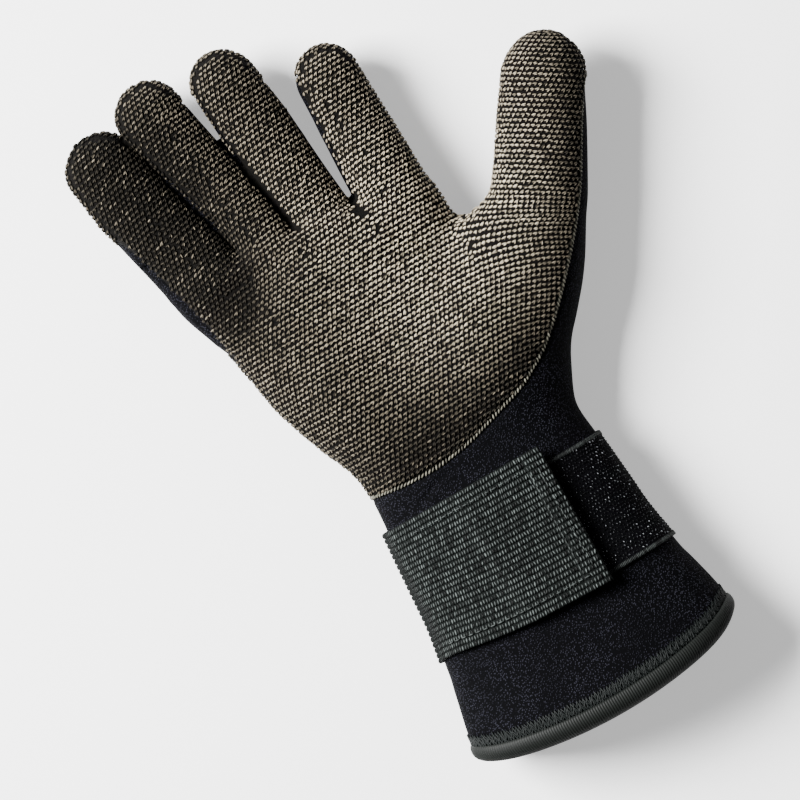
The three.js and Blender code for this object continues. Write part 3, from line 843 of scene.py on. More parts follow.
def neoprene(name, dark, light):
    """Foam neoprene faced with nylon jersey: bluish black, matt, with a fine loop grain of a millimetre
    whose crests catch the light more in some places than in others."""
    material, tree, shader = start_material(name, Roughness=0.85, Specular_IOR_Level=0.03)
    place = object_place(tree)
    crest = spread_out(tree, cells(tree, place, 0.85), from_min=0.46, from_max=0.05)
    two_tone(tree, shader, product(tree, crest, noise(tree, place, 16.0, 2.0)), dark, light)
    raised(tree, shader, crest, 0.0005, 0.9)
    return material


def thread(name, dark, light, rough=0.55):
    """Twisted polyester or nylon thread: painted shade below and a painted highlight on the crests,
    where the filament shines.
    """
    material, tree, shader = start_material(name, Roughness=rough, Specular_IOR_Level=0.1)
    two_tone(tree, shader, product(tree, attribute(tree, "rise"), attribute(tree, "tone")), dark, light)
    raised(tree, shader, noise(tree, object_place(tree), 0.4, 2.0), 0.0001, 0.5)
    return material


def woven(name, dark, light, grain, rough=0.85, specular=0.03, deep=0.0002, strength=0.6):
    """The ground of knit, tapes and bands: near-black cloth with a fine thread grain."""
    material, tree, shader = start_material(name, Roughness=rough, Specular_IOR_Level=specular)
    weave = cells(tree, object_place(tree), grain)
    two_tone(tree, shader, weave, light, dark)
    raised(tree, shader, weave, deep, strength, invert=True)
    return material


shell_neoprene = neoprene("nylon_faced_neoprene", "#020203", "#35353f")
lining = neoprene("nylon_lining", "#0b0b0d", "#2a2a2e")
ground = woven("aramid_knit_ground", "#020202", "#0b0907", 0.9, 0.9, 0.05, 0.0004, 0.8)
# Valley, body and crest: painted shade in the gaps between nubs and a painted highlight on the crests.
yarn = grip_yarn("aramid_nub_yarn", "#040403", "#27231d", "#9f9480")
elastic_ground = woven("elastic_band_ground", "#030303", "#121514", 0.7)
elastic_thread = thread("elastic_band_thread", "#020202", "#4b514f")
hook_ground = woven("hook_tape_ground", "#020203", "#070709", 0.8)
hook_nylon = thread("nylon_hooks", "#020203", "#7c7e82", 0.4)
binding_cloth = thread("ribbed_binding_tape", "#060706", "#151816")
seam_thread = thread("seam_thread", "#0d0b09", "#6c6a5e")
hem_thread = thread("overlock_thread", "#050606", "#151918")
loop_cloth = woven("brushed_loop_pad", "#0a0a0b", "#1c1d1f", 0.6)

# The shell

GRID_STEP = 1.35
GRID_LOW = np.array((-91.0, -114.0, -2.5))
GRID_HIGH = np.array((121.0, 205.0, 53.0))
SMOOTHING_ROUNDS = 4
SEAM_GROOVE = 0.9
SEAM_HALF = 1.5
axes = [np.arange(low, high, GRID_STEP) for low, high in zip(GRID_LOW, GRID_HIGH)]
values = field(axes[0][:, None, None], axes[1][None, :, None], axes[2][None, None, :])
skin, skin_quads = surface_net(values, GRID_LOW, GRID_STEP)
for _ in range(SMOOTHING_ROUNDS):
    skin = 0.5 * skin + 0.5 * neighbour_mean(skin, skin_quads)
    skin = onto_skin(skin, 1)
skin = onto_skin(skin, 2)

# The hem is an open edge, straightened along the cuff.
skin_along = straight_along(skin[:, 0], skin[:, 1])
HEM_EDGE = CLEARANCE - CUFF_LENGTH
near_hem = skin_along < HEM_EDGE + 0.5 * GRID_STEP
kept = np.all(skin_along[skin_quads] > HEM_EDGE - 0.5 * GRID_STEP, axis=1)
kept &= ~np.all(near_hem[skin_quads], axis=1)
skin_quads = skin_quads[kept]
skin[near_hem, 1] += HEM_EDGE - skin_along[near_hem]

# Faces go to the panel that holds their middle, and the vertices between two panels go to the seam.
face_panel = panel_of(panel_depths(skin[skin_quads].mean(axis=1)))
lowest_panel = np.full(len(skin), 9)
highest_panel = np.full(len(skin), -1)
np.minimum.at(lowest_panel, skin_quads.ravel(), np.repeat(face_panel, 4))
np.maximum.at(highest_panel, skin_quads.ravel(), np.repeat(face_panel, 4))
on_seam = np.flatnonzero((lowest_panel != highest_panel) & (highest_panel > 0))
seam_kind = np.maximum(highest_panel[on_seam] - 1, 0)


def onto_seam(points, kind, steps):
    """Points moved along the skin to a panel's edge: to the palm's for kind 0, to a fourchette's above."""
    pick = np.arange(len(points)), kind
    step = 0.2
    for _ in range(steps):
        depth = panel_depths(points)[pick]
        slope = np.stack(
            [(panel_depths(points + step * np.eye(3)[axis])[pick] - depth) / step for axis in range(3)],
            axis=1,
        )
        slope = along_surface(slope, unit(slope_at(points)))
        size = np.maximum((slope * slope).sum(axis=1), 0.15)
        move = np.clip(depth / size, -0.5, 0.5)
        points = onto_skin(points - move[:, None] * slope, 1)
    return points


skin[on_seam] = onto_seam(skin[on_seam], seam_kind, 3)

# The seams are drawn down into the foam, and the surface rolls over to them.
depths = panel_depths(skin)
normals = unit(slope_at(skin))
nearest_seam = np.abs(depths).min(axis=1)
groove = SEAM_GROOVE * np.exp(-((nearest_seam / SEAM_HALF) ** 2))
groove *= ramp(skin[:, 1], -10, 0)
shell_points = skin - groove[:, None] * normals


def shell_piece(name, panel, materials, slot, node):
    """The faces of one panel, with the foam's thickness put on inwards."""
    quads = skin_quads[face_panel == panel]
    used, inverse = np.unique(quads, return_inverse=True)
    faces = inverse.reshape(-1, 4)
    piece = new_piece(name, shell_points[used], faces, {}, materials, slot, replaces=(node,))
    thick = piece.modifiers.new("foam", "SOLIDIFY")
    thick.thickness = WALL * 0.001
    thick.offset = -1
    thick.material_offset = 1
    return piece


shell_piece("palm_panel_ground", 1, (ground, lining), "grip_knit", "palm_panel")
shell_piece("back_and_cuff_shell", 0, (shell_neoprene, lining), "neoprene", "back_and_cuff")
for index, (first, second) in enumerate(zip(FINGERS[:-1], FINGERS[1:])):
    node = "fourchette_" + first + "_" + second
    shell_piece(node + "_strip", index + 2, (shell_neoprene, lining), "neoprene", node)

# The grip knit: nubs of yarn in rows across the palm, which fan out round the ball of the thumb and
# turn with each finger. Row places are given along (U) and across (V) the rows about the fan's centre.
NUB_PITCH = 2.1
ROW_PITCH = 2.05
FAN_CENTRE = np.array((28.0, -25.0))
NUB_SLANT = math.radians(26)
# Plies of a nub: shift to the side, turn and its spread, length, width, height and brightness
NUB_PLIES = (
    (-0.15, -0.15, 0.18, 2.7, 0.85, 0.72, 0.54),
    (0.4, 0.3, 0.28, 2.1, 0.6, 0.74, 0.58),
)
# Share of the nubs that stay pale in the painted shade, as painted glints, and how pale they are
GLINT_SHARE = 0.14
GLINT = 0.24
# Areas where the knit is painted paler or darker, as painted light and painted shade: x, y, lean in
# degrees, reach along and across, change
PAINTED_LIGHT_AND_SHADE_AREAS = (
    (27.0, 86.0, 0.0, 45.0, 42.0, 0.86), (-66.0, 150.0, 11.0, 62.0, 19.0, -0.62),
    (-43.0, 165.0, 12.0, 45.0, 13.0, -0.25), (-50.0, 114.0, 0.0, 20.0, 18.0, -0.25),
    (5.0, 8.0, 0.0, 34.0, 60.0, -0.48), (97.0, 97.0, -32.0, 60.0, 9.0, -0.3),
    (48.0, 42.0, -35.0, 45.0, 14.0, -0.3), (70.0, 95.0, -32.0, 50.0, 16.0, 0.2),
    (-10.0, 175.0, 6.0, 35.0, 15.0, -0.15),
)
# Where a limb's rows leave the fan's: from where to where about its root, in millimetres along the rows,
# and the thumb's root along its own line. Spans: how far rows reach to the sides of a zone's middle line.
FINGER_TURN = (-26.0, 3.0)
THUMB_TURN = (-14.0, 16.0)
THUMB_SPLIT = 72.0
PALM_SPAN = (-92.0, 130.0)
PALM_NUB_ROWS = (25, 175)
LIMB_SPAN = 28
INDEX_SPAN = 19.0
THUMB_SPAN = 25
ROW_STEP = 0.4
SIDE_HEIGHT = 15.0
# Distances: between nubs of a zone, between zones, from filling nubs to others and between them, from the
# panel's edge and from a fourchette, and the spacing that easing aims at
NUBS_APART = 1.35
ZONES_APART = 1.5
FILL_CLEAR = 1.62
FILL_APART = 1.6
EDGE_CLEAR = 0.9
FORK_CLEAR = 0.8
EASED_REACH = 2.0
EASED_ROUNDS = 6
UNEVEN = 0.10
# The second ply lies this far round from the row, in radians
PLY_SIDE = 0.9
GROOVE_INSET = 2.3
GROOVE_HALF = 0.55
# The bare strips at the fingers' left edges: how wide, and from where to where along the finger
BARE_STRIPS = {"middle": (2.6, 5.0, 44.0), "index": (1.5, 0.0, 60.0)}
# The bare spot at the fork of middle and index finger: its middle in plan and its radius
FORK_SPOT = np.array((8.8, 117.0))
FORK_RADIUS = 2.3
random = np.random.default_rng(20)

inside = values < 0
column_top = inside.shape[2] - 1 - np.argmax(inside[:, :, ::-1], axis=2)
column_top = np.minimum(column_top, inside.shape[2] - 2)
here = np.take_along_axis(values, column_top[:, :, None], axis=2)[..., 0]
above = np.take_along_axis(values, column_top[:, :, None] + 1, axis=2)[..., 0]
top_height = GRID_LOW[2] + GRID_STEP * (column_top + here / np.where(here == above, 1, here - above))
top_height = np.where(inside.any(axis=2), top_height, SIDE_HEIGHT)


def lifted(plan):
    """Points in plan lifted to the glove's upper side, by the height map between its grid lines."""
    at = (plan - GRID_LOW[:2]) / GRID_STEP
    at = np.clip(at, 0, np.array(top_height.shape) - 1.001)
    i, j = at[..., 0].astype(int), at[..., 1].astype(int)
    p, q = at[..., 0] - i, at[..., 1] - j
    z = (
        top_height[i, j] * (1 - p) * (1 - q) + top_height[i + 1, j] * p * (1 - q)
        + top_height[i, j + 1] * (1 - p) * q + top_height[i + 1, j + 1] * p * q
    )
    return np.concatenate((plan, z[..., None]), axis=-1)


def fan_place(u, v):
    """Straight rows left of the fan's centre, and circles about it on the right."""
    u, v = np.broadcast_arrays(np.asarray(u, float), np.asarray(v, float))
    turn = np.clip(u, 0, None) / v
    x = FAN_CENTRE[0] + np.clip(u, None, 0) + v * np.sin(turn)
    y = FAN_CENTRE[1] + v * np.cos(turn)
    return np.stack((x, y), axis=-1)


def fan_rows(place):
    """U and V of a place in plan."""
    dx, dy = np.asarray(place) - FAN_CENTRE
    if dx < 0:
        return dx, dy
    v = math.hypot(dx, dy)
    return v * math.atan2(dx, dy), v


class KnitZone:
    """Rows that follow the fan below and a limb's own axis above, joined by a smooth step."""

    def __init__(self, limb, root_along, turn):
        self.limb = limb
        self.u, self.v = fan_rows(limb.at(root_along, limb.column("shift", root_along)))
        self.root_along = root_along
        self.start = self.v + turn[0]
        self.end = self.v + turn[1]
        s = np.arange(0, limb.length + 0.1, 0.25)
        line = lifted(limb.at(s, limb.column("shift", s)))
        arcs = arc_lengths(line)
        self.arcs = arcs - np.interp(root_along, s, arcs)
        self.s = s

    def place(self, u, v):
        share = ramp(v, self.start, self.end)[..., None]
        s = np.where(v > self.v, np.interp(v - self.v, self.arcs, self.s), self.root_along + v - self.v)
        own = self.limb.at(s, u - self.u + self.limb.column("shift", s))
        return fan_place(u, v) * (1 - share) + own * share


def lay_rows(place, rows, low, high, anchor, phase):
    """U and V of nubs at an even pitch along each row, measured on the lifted row from the anchor."""
    u = np.arange(low, high, ROW_STEP)
    line = lifted(place(u[None, :], rows[:, None]))
    steps = np.linalg.norm(np.diff(line, axis=1), axis=2)
    arcs = np.concatenate((np.zeros((len(rows), 1)), np.cumsum(steps, axis=1)), axis=1)
    found_u = []
    found_v = []
    for index, row in enumerate(rows):
        arc = arcs[index] - np.interp(anchor, u, arcs[index])
        offset = (phase + 0.5 * (round(row / ROW_PITCH) % 2)) * NUB_PITCH
        first = math.ceil((arc[0] - offset) / NUB_PITCH)
        last = math.floor((arc[-1] - offset) / NUB_PITCH)
        marks = offset + NUB_PITCH * np.arange(first, last + 1)
        found_u.append(np.interp(marks, arc, u))
        found_v.append(np.full(len(marks), row))
    return np.concatenate(found_u), np.concatenate(found_v)


def arc_phase(row, anchor):
    """The share of a pitch by which a zone's centre misses the palm's own nubs in a row."""
    u = np.arange(min(0, anchor), max(0, anchor) + ROW_STEP, ROW_STEP)
    line = lifted(fan_place(u, np.full(len(u), row)))
    length = np.linalg.norm(np.diff(line, axis=0), axis=1).sum() * math.copysign(1, anchor)
    return -(length / NUB_PITCH) % 1.0


zones = {name: KnitZone(limbs[name], 0.0, FINGER_TURN) for name in FINGERS}
zones["thumb"] = KnitZone(limbs["thumb"], THUMB_SPLIT, THUMB_TURN)
splits = [(zones[a].u + zones[b].u) / 2 for a, b in zip(FINGERS[:-1], FINGERS[1:])]
finger_low = (-FAR_AWAY, *splits)
finger_high = (*splits, zones["index"].u + INDEX_SPAN)


def row_values(low, high):
    return ROW_PITCH * np.arange(math.ceil(low / ROW_PITCH), math.floor(high / ROW_PITCH) + 1)


def below_finger(name, u):
    """Whether places along the rows lie in a finger's share of the knuckles."""
    index = FINGERS.index(name)
    return (u >= finger_low[index]) & (u < finger_high[index])


def palm_nubs():
    """The palm's own rows, up to where each finger's and the thumb's rows take over."""
    u, v = lay_rows(fan_place, row_values(*PALM_NUB_ROWS), *PALM_SPAN, 0.0, 0.0)
    kept = np.ones(len(u), bool)
    for name in FINGERS:
        kept &= ~(below_finger(name, u) & (v >= zones[name].start))
    thumb = zones["thumb"]
    kept &= ~((v >= thumb.start) & (u > thumb.u - THUMB_SPAN))
    return fan_place, u[kept], v[kept]


def limb_nubs(name):
    """A finger's or the thumb's rows, from where they leave the palm's to the tip."""
    zone = zones[name]
    rows = row_values(zone.start, zone.v + zone.arcs[-1])
    phase = arc_phase(rows[0], zone.u)
    u, v = lay_rows(zone.place, rows, zone.u - LIMB_SPAN, zone.u + LIMB_SPAN, zone.u, phase)
    if name == "thumb":
        return zone.place, u, v
    kept = below_finger(name, u) | (v > zone.v - 2)
    return zone.place, u[kept], v[kept]


def painted_light_and_shade(points):
    """How pale the knit is painted at a place, as painted light and shade: the sum of bell-shaped areas,
    each along its own lean.
    """
    total = np.full(len(points), 0.4)
    for x, y, lean, long, across, change in PAINTED_LIGHT_AND_SHADE_AREAS:
        turn = math.radians(lean)
        dx, dy = points[:, 0] - x, points[:, 1] - y
        along = (dy * math.cos(turn) - dx * math.sin(turn)) / long
        aside = (dx * math.cos(turn) + dy * math.sin(turn)) / across
        total += change * np.exp(-along * along - aside * aside)
    return np.clip(total, 0.03, 1.6)


def rim_groove(points):
    """Whether a point lies in the sewn groove that runs inside a finger's left edge and round its tip,
    on a bare strip at a finger's left edge, or at the fork."""
    inside_groove = np.linalg.norm(points[:, :2] - FORK_SPOT, axis=1) < FORK_RADIUS
    for name in FINGERS:
        limb = limbs[name]
        s, n = limb.local(points[:, 0], points[:, 1])
        half = limb.column("half", s)
        side = (n - limb.column("shift", s)) / half
        past = np.clip(s - limb.last, 0, None) / limb.dome
        inset = (1 - np.hypot(side, past)) * half
        round_tip = (s > limb.last) & (np.hypot(side, past) < 1.1)
        left = (side < 0) & (side > -1.1) & (s > 0.4 * limb.length)
        inside_groove |= (np.abs(inset - GROOVE_INSET) < GROOVE_HALF) & (round_tip | left)
        if name in BARE_STRIPS:
            wide, first, last = BARE_STRIPS[name]
            inside_groove |= (side < 0) & (side > -1.1) & (inset < wide) & (s > first) & (s < last)
    return inside_groove


def nub_frames(place, u, v):
    """Nub centres on the skin, their normals and row directions, with a little seeded unevenness."""
    u = u + random.normal(0, UNEVEN, len(u))
    v = v + random.normal(0, UNEVEN, len(v))
    centres = onto_skin(lifted(place(u, v)), 4)
    ahead = place(u + 0.3, v) - place(u - 0.3, v)
    rows = unit(np.concatenate((ahead, np.zeros((len(u), 1))), axis=1))
    return centres, unit(slope_at(centres)), rows


def blocks(points, others, size=500):
    """Blocks of points with their offsets and squared distances from the others."""
    for start in range(0, len(points), size):
        gap = points[start : start + size, None] - others[None]
        yield slice(start, start + size), gap, (gap * gap).sum(axis=2)


def far_from(points, others, limit):
    """Whether each point is further than a limit from all of the others."""
    clear = np.ones(len(points), bool)
    for block, _, squared in blocks(points, others):
        clear[block] = squared.min(axis=1) > limit * limit
    return clear


def thin_out(points, limit):
    """Drops the later one of any two points closer than a limit."""
    kept = np.ones(len(points), bool)
    order = np.arange(len(points))
    for block, _, squared in blocks(points, points):
        kept[block] = ~((squared < limit * limit) & (order[None] < order[block, None])).any(axis=1)
    return kept


def eased(points, reach, steps):
    """Evens out the spacing: each point is pushed away from those nearer than a reach, by a third of
    what is missing, and goes back to the skin."""
    for _ in range(steps):
        push = np.zeros_like(points)
        for block, gap, squared in blocks(points, points):
            away = np.sqrt(squared)
            lack = np.where((away < reach) & (away > 1e-6), reach - away, 0)
            push[block] = (gap * (lack / np.maximum(away, 1e-6))[..., None]).sum(axis=1)
        points = onto_skin(points + 0.3 * push, 1)
    return points


def on_knit(points):
    """Whether points lie well inside the palm panel and clear of the fourchettes."""
    depth = panel_depths(points)
    return (depth[:, 0] > EDGE_CLEAR) & (depth[:, 1:].max(axis=1) < -FORK_CLEAR)


placed = np.zeros((0, 3))
laid = []
for name in ("palm", "thumb", "middle", "index", "ring", "little"):
    centres, normal, rows = nub_frames(*(palm_nubs() if name == "palm" else limb_nubs(name)))
    kept = on_knit(centres) & (np.abs(field_at(centres)) < 0.3) & (normal[:, 2] > -0.3)
    centres, rows = centres[kept], rows[kept]
    kept = thin_out(centres, NUBS_APART)
    if len(placed):
        kept &= far_from(centres, placed, ZONES_APART)
    placed = np.concatenate((placed, centres[kept]))
    laid.append((name, rows[kept]))

# Single nubs fill what the turning rows leave open.
fill_x, fill_y = np.meshgrid(np.arange(-75, 95, 0.8), np.arange(0, 200, 0.8), indexing="ij")
tops = lifted(np.stack((fill_x.ravel(), fill_y.ravel()), axis=1))
fill = onto_skin(tops[np.abs(field_at(tops)) < 0.6], 2)
fill = fill[far_from(fill, placed, FILL_CLEAR)]
fill = fill[on_knit(fill) & (unit(slope_at(fill))[:, 2] > 0.1)]
fill = fill[thin_out(fill, FILL_APART)]
placed = np.concatenate((placed, fill))
laid.append(("filling", np.tile((1.0, 0.0, 0.0), (len(fill), 1))))

placed = eased(placed, EASED_REACH, EASED_ROUNDS)
placed_normals = unit(slope_at(placed))
start = 0
for name, rows in laid:
    count = len(rows)
    clear = ~rim_groove(placed[start : start + count])
    centres = placed[start : start + count][clear]
    normal = placed_normals[start : start + count][clear]
    rows = rows[clear]
    start += count
    count = len(rows)
    rows = unit(along_surface(rows, normal))
    aside = np.cross(normal, rows)
    built = []
    for shift, turn, spread, long, wide, high, bright in NUB_PLIES:
        slant = NUB_SLANT + turn + random.normal(0, spread, count)
        along = turned(rows, aside, slant)
        size = random.normal(1, 0.12, (3, count))
        tones = np.clip(random.normal(bright, 0.22, count), 0.05, 1.1)
        # Painted glints: a share of the nubs keeps a pale tone where the painted shade is deep.
        glint = np.where(random.uniform(0, 1, count) < GLINT_SHARE, GLINT, 0.0)
        # Each nub's tone carries the painted light and painted shade of its place.
        tones = tones * np.maximum(painted_light_and_shade(centres), glint)
        beside = turned(rows, aside, -PLY_SIDE) * shift
        long, wide, high = long * size[0], wide * size[1], high * size[2]
        built.append(grains(centres + beside, normal, along, long, wide, high, tones))
    new_piece(name + "_knit_nubs", *joined(built), (yarn,), "grip_knit")

# Straps and tapes

def over_tape(x):
    """How much the strap and the pad stand off where they lie on the hook tape."""
    return ramp(x, TAPE_REACH - STEP_LENGTH, TAPE_REACH - 1) * (TAPE_THICKNESS + CLEARANCE)


def over_pad(x):
    """How much the strap stands off where it lies on its pad."""
    return ramp(x, PAD_FROM - STEP_LENGTH, PAD_FROM - 1) * (PAD_THICKNESS + CLEARANCE)


class Band:
    """A band that follows the cuff from one angle to another, with its edges given along the cuff."""

    def __init__(self, start, end, lower, upper, stack):
        self.start = start
        self.end = end
        self.lower = lower
        self.upper = upper
        self.stack = stack
        self.even = np.linspace(0, 1, 400)
        lengths = arc_lengths(self.raw(self.even, 0.5, 0.0))
        self.length = lengths[-1]
        self.shares = lengths / self.length

    def raw(self, u, v, height):
        along = self.lower(u) + (self.upper(u) - self.lower(u)) * v
        angle = self.start(along) + (self.end(along) - self.start(along)) * u
        x = hand_point(along, angle, 0.0)[..., 0]
        on_top = np.where(np.sin(angle) > 0, x, -FAR_AWAY)
        return hand_point(along, angle, CLEARANCE + self.stack(on_top) + height)

    def at(self, share, v, height):
        """A point by its share of the band's real length, its share of the width and its height."""
        return self.raw(np.interp(share, self.shares, self.even), v, height)

    def frame(self, share, v, height):
        """Points with the directions along the band, across it and out of it."""
        step = 0.002
        here = self.at(share, v, height)
        along = unit(self.at(share + step, v, height) - self.at(share - step, v, height))
        across = unit(self.at(share, v + step, height) - self.at(share, v - step, height))
        return here, along, across, unit(np.cross(along, across))


def constant(value):
    return lambda u: value + 0 * np.asarray(u)


STRAP_LOW = STRAP_TOP - STRAP_WIDTH
TAPE_TOP = STRAP_TOP - 7
strap_band = Band(
    lambda along: 2 * math.pi - angle_at(along, -BACK_ENDS),
    lambda along: angle_at(along, STRAP_REACH),
    lambda u: STRAP_LOW - STRAP_FLARE * u + STRAP_TUCK * np.exp(-(((u - 0.5) / 0.22) ** 2)),
    constant(STRAP_TOP),
    lambda x: over_tape(x) + over_pad(x),
)
pad_band = Band(
    lambda along: angle_at(along, PAD_FROM),
    lambda along: angle_at(along, PAD_TO),
    constant(STRAP_TOP - (STRAP_WIDTH + PAD_WIDTH) / 2),
    constant(STRAP_TOP - (STRAP_WIDTH - PAD_WIDTH) / 2),
    over_tape,
)
tape_band = Band(
    lambda along: angle_at(along, TAPE_REACH),
    lambda along: -angle_at(along, BACK_ENDS),
    constant(TAPE_TOP - TAPE_WIDTH),
    constant(TAPE_TOP),
    lambda x: 0 * x,
)

# The elastic strap: ribs along its length, a free end folded under and sewn, which stands a little
# proud of the tape, and slanted threads over each rib
RIBS = 25
RIB_HEIGHT = 0.7
FOLD_LENGTH = 9.0
END_LIFT = 0.8


def band_piece(name, band, steps, outer, inner, material, slot, node):
    """A band's piece, with its outer and inner height as functions of the shares along and across."""
    share, v = np.meshgrid(*(np.linspace(0, 1, count) for count in steps), indexing="ij")
    slab = slab_piece(band.at(share, v, outer(share, v)), band.at(share, v, inner(share, v)))
    return new_piece(name, *slab, {}, (material,), slot, replaces=(node,))


def strap_lift(share, v):
    """How far the strap's free end stands up."""
    return END_LIFT * (1 - ramp((1 - share) * strap_band.length, 0, 3 * FOLD_LENGTH)) ** 2


def strap_height(share, v):
    """Outer height of the strap: rounded ribs with narrow gaps, the fold's second layer, and the lift."""
    rib = np.abs(np.sin(np.pi * RIBS * v)) ** 0.45
    from_end = (1 - share) * strap_band.length
    fold = 1 - ramp(from_end, FOLD_LENGTH - 1.5, FOLD_LENGTH + 1.0)
    edge = 1 - 0.5 * (1 - ramp(from_end, -0.4, 0.8))
    lift = strap_lift(share, v)
    sewn = 0.35 * np.exp(-(((from_end - FOLD_LENGTH) / 0.8) ** 2))
    return (STRAP_THICKNESS - RIB_HEIGHT * (1 - rib) + 0.9 * fold) * edge + lift - sewn


strap_piece = band_piece(
    "elastic_wrist_strap", strap_band, (130, RIBS * 6 + 1), strap_height, strap_lift,
    elastic_ground, "ribbed_elastic", "wrist_strap",
)
pad_piece = band_piece(
    "brushed_loop_pad", pad_band, (60, 50), lambda share, v: PAD_THICKNESS, lambda share, v: 0.0,
    loop_cloth, "loop_pad", "strap_pad",
)

SELVEDGE = 2.2


def tape_height(share, v):
    """Outer height of the hook tape: rounded edges, and a ground that lies lower than the selvedges."""
    from_edge = np.minimum(v, 1 - v) * TAPE_WIDTH
    height = TAPE_THICKNESS - 0.5 * (1 - ramp(from_edge, 0, 0.8))
    return height - 0.35 * ramp(from_edge, SELVEDGE - 0.4, SELVEDGE)


tape_piece = band_piece(
    "woven_hook_tape", tape_band, (120, 60), tape_height, lambda share, v: 0.0,
    hook_ground, "hook_tape", "hook_tape",
)

# The hem's binding: a channel folded over the edge, with fine ribs across it
RIB_PITCH = 1.05


def binding_section(steps):
    """The binding's section as distances along and out: from the cuff's skin over the hem to the lining."""
    thick = BINDING_THICKNESS
    inner = -WALL - CLEARANCE
    hem = -CUFF_LENGTH
    corners = np.array((
        (hem + BINDING_WIDTH, CLEARANCE),
        (hem + BINDING_WIDTH, CLEARANCE + thick * 0.6),
        (hem + BINDING_WIDTH * 0.8, CLEARANCE + thick * 0.95),
        (hem + BINDING_WIDTH * 0.5, CLEARANCE + thick),
        (hem + BINDING_WIDTH * 0.25, CLEARANCE + thick * 0.75),
        (hem + 0.2, CLEARANCE + thick * 0.2),
        (hem - 1.0, -WALL * 0.2),
        (hem - CLEARANCE - thick, -WALL / 2),
        (hem - 0.9, inner - thick * 0.55),
        (hem + 0.6, inner - thick),
        (hem + BINDING_WIDTH * 0.8, inner - thick),
        (hem + BINDING_WIDTH * 0.8, inner),
    ))
    lengths = arc_lengths(corners)
    even = np.linspace(0, lengths[-1], steps)
    return np.stack([np.interp(even, lengths, corners[:, axis]) for axis in range(2)], axis=1)


section = binding_section(26)
ring_angles = np.linspace(0, 2 * math.pi, 1200, endpoint=False)
hem_line = hand_point(-CUFF_LENGTH, ring_angles, 0.0)
hem_lengths = arc_lengths(np.concatenate((hem_line, hem_line[:1])))
closed_angles = np.append(ring_angles, 2 * math.pi)
rib_count = int(round(hem_lengths[-1] / RIB_PITCH))
steps_a_rib = 4
even = np.arange(rib_count * steps_a_rib) / (rib_count * steps_a_rib) * hem_lengths[-1]
angles = np.interp(even, hem_lengths, closed_angles)[:, None]
rib = np.cos(2 * math.pi * rib_count * even / hem_lengths[-1])[:, None]
crown = np.sin(np.pi * np.linspace(0, 1, len(section)))[None, :] ** 0.5
outwards = np.where(section[None, :, 1] > -WALL / 2, 1.0, -1.0)
swell = 0.16 * rib * crown * outwards
outer = hand_point(section[None, :, 0], angles, section[None, :, 1] + swell)
binding_points = outer.reshape(-1, 3)
binding_quads = grid_quads(len(even), len(section), wrap_rows=True, wrap_columns=True)
binding_piece = new_piece(
    "ribbed_hem_binding", binding_points, binding_quads,
    {
        # The rib crests are painted pale and the hollows dark: painted highlight and painted shade.
        "rise": np.broadcast_to(0.5 + 0.5 * rib, outer.shape[:2]),
        "tone": np.full(outer.shape[:2], 0.8),
    },
    (binding_cloth,), "binding_tape", replaces=("cuff_binding",),
)

# Threads

def tubes(paths, normals, radius, sides=6, tones=0.5):
    """Threads swept along paths: a polygon about each point, in the plane of its normal and its side."""
    count, steps = paths.shape[:2]
    tangents = unit(np.gradient(paths, axis=1))
    asides = unit(np.cross(tangents, normals))
    ups = np.cross(asides, tangents)
    turns = np.arange(sides) * 2 * math.pi / sides
    rings = (
        paths[:, :, None]
        + radius * np.cos(turns)[None, None, :, None] * asides[:, :, None]
        + radius * np.sin(turns)[None, None, :, None] * ups[:, :, None]
    )
    quads = grid_quads(steps, sides, wrap_columns=True)
    i = np.arange(sides // 2 - 1)
    cap = np.stack((i, i + 1, sides - 2 - i, sides - 1 - i), axis=1)
    quads = np.concatenate((quads[:, ::-1], cap[:, ::-1], cap + (steps - 1) * sides))
    faces = quads[None] + steps * sides * np.arange(count)[:, None, None]
    # Rise is greater on the side away from the surface: a painted highlight there and painted shade beneath.
    rise = np.broadcast_to(np.clip(0.5 + 0.5 * np.sin(turns), 0, 1), (count, steps, sides))
    tone = np.broadcast_to(np.broadcast_to(tones, count)[:, None, None], rise.shape)
    return rings.reshape(-1, 3), faces.reshape(-1, 4), {"rise": rise.ravel(), "tone": tone.ravel()}


def along_curve(points, pitch):
    """Points at an even pitch along a curve, and the curve's direction there."""
    lengths = arc_lengths(points)
    places = np.arange(pitch / 2, lengths[-1], pitch)
    spread = [np.interp(places, lengths, points[:, axis]) for axis in range(3)]
    made = np.stack(spread, axis=1)
    return made, unit(np.gradient(made, axis=0))


# Threads over the strap's ribs: each rib is wrapped in stitches that lie nearly across it
WRAP_PITCH = 1.15
WRAP_SLANT = math.radians(86)
places = np.arange(0.8, strap_band.length - 0.6, WRAP_PITCH)
rib_index, place = np.meshgrid(np.arange(RIBS), places, indexing="ij")
place = place + random.normal(0, 0.07, place.shape) + 0.3 * (rib_index % 2)
share = (place / strap_band.length).ravel()
across = ((rib_index + 0.5) / RIBS).ravel() + random.normal(0, 0.0008, place.size)
here, along, aside, out = strap_band.frame(share, across, strap_height(share, across))
facing = out[:, 2] > 0.4
here, along, aside, out, share = (held[facing] for held in (here, along, aside, out, share))
turned_up = ramp(out[:, 2], 0.4, 0.85)
slant = WRAP_SLANT + random.normal(0, 0.12, len(share))
lead = turned(along, aside, slant)
size = random.normal(1, 0.1, (3, len(share)))
# The threads' tone is darker where the strap turns away from facing up round the cuff's sides: painted
# shade.
wraps = grains(
    here - 0.15 * out, out, lead, 2.15 * size[0], 0.72 * size[1], (0.12 + 0.26 * turned_up) * size[2],
    np.clip(random.normal(0.42, 0.26, len(share)), 0.03, 1) * (0.3 + 0.7 * turned_up),
)
wrap_piece = new_piece("strap_rib_threads", *wraps, (elastic_thread,), "ribbed_elastic")


def strap_share(x, v):
    """The share of the strap's length at which it crosses an x on the palm side."""
    shares = np.linspace(0.3, 1, 300)
    line = strap_band.at(shares, v, STRAP_THICKNESS)[:, 0]
    return np.interp(x, line, shares)


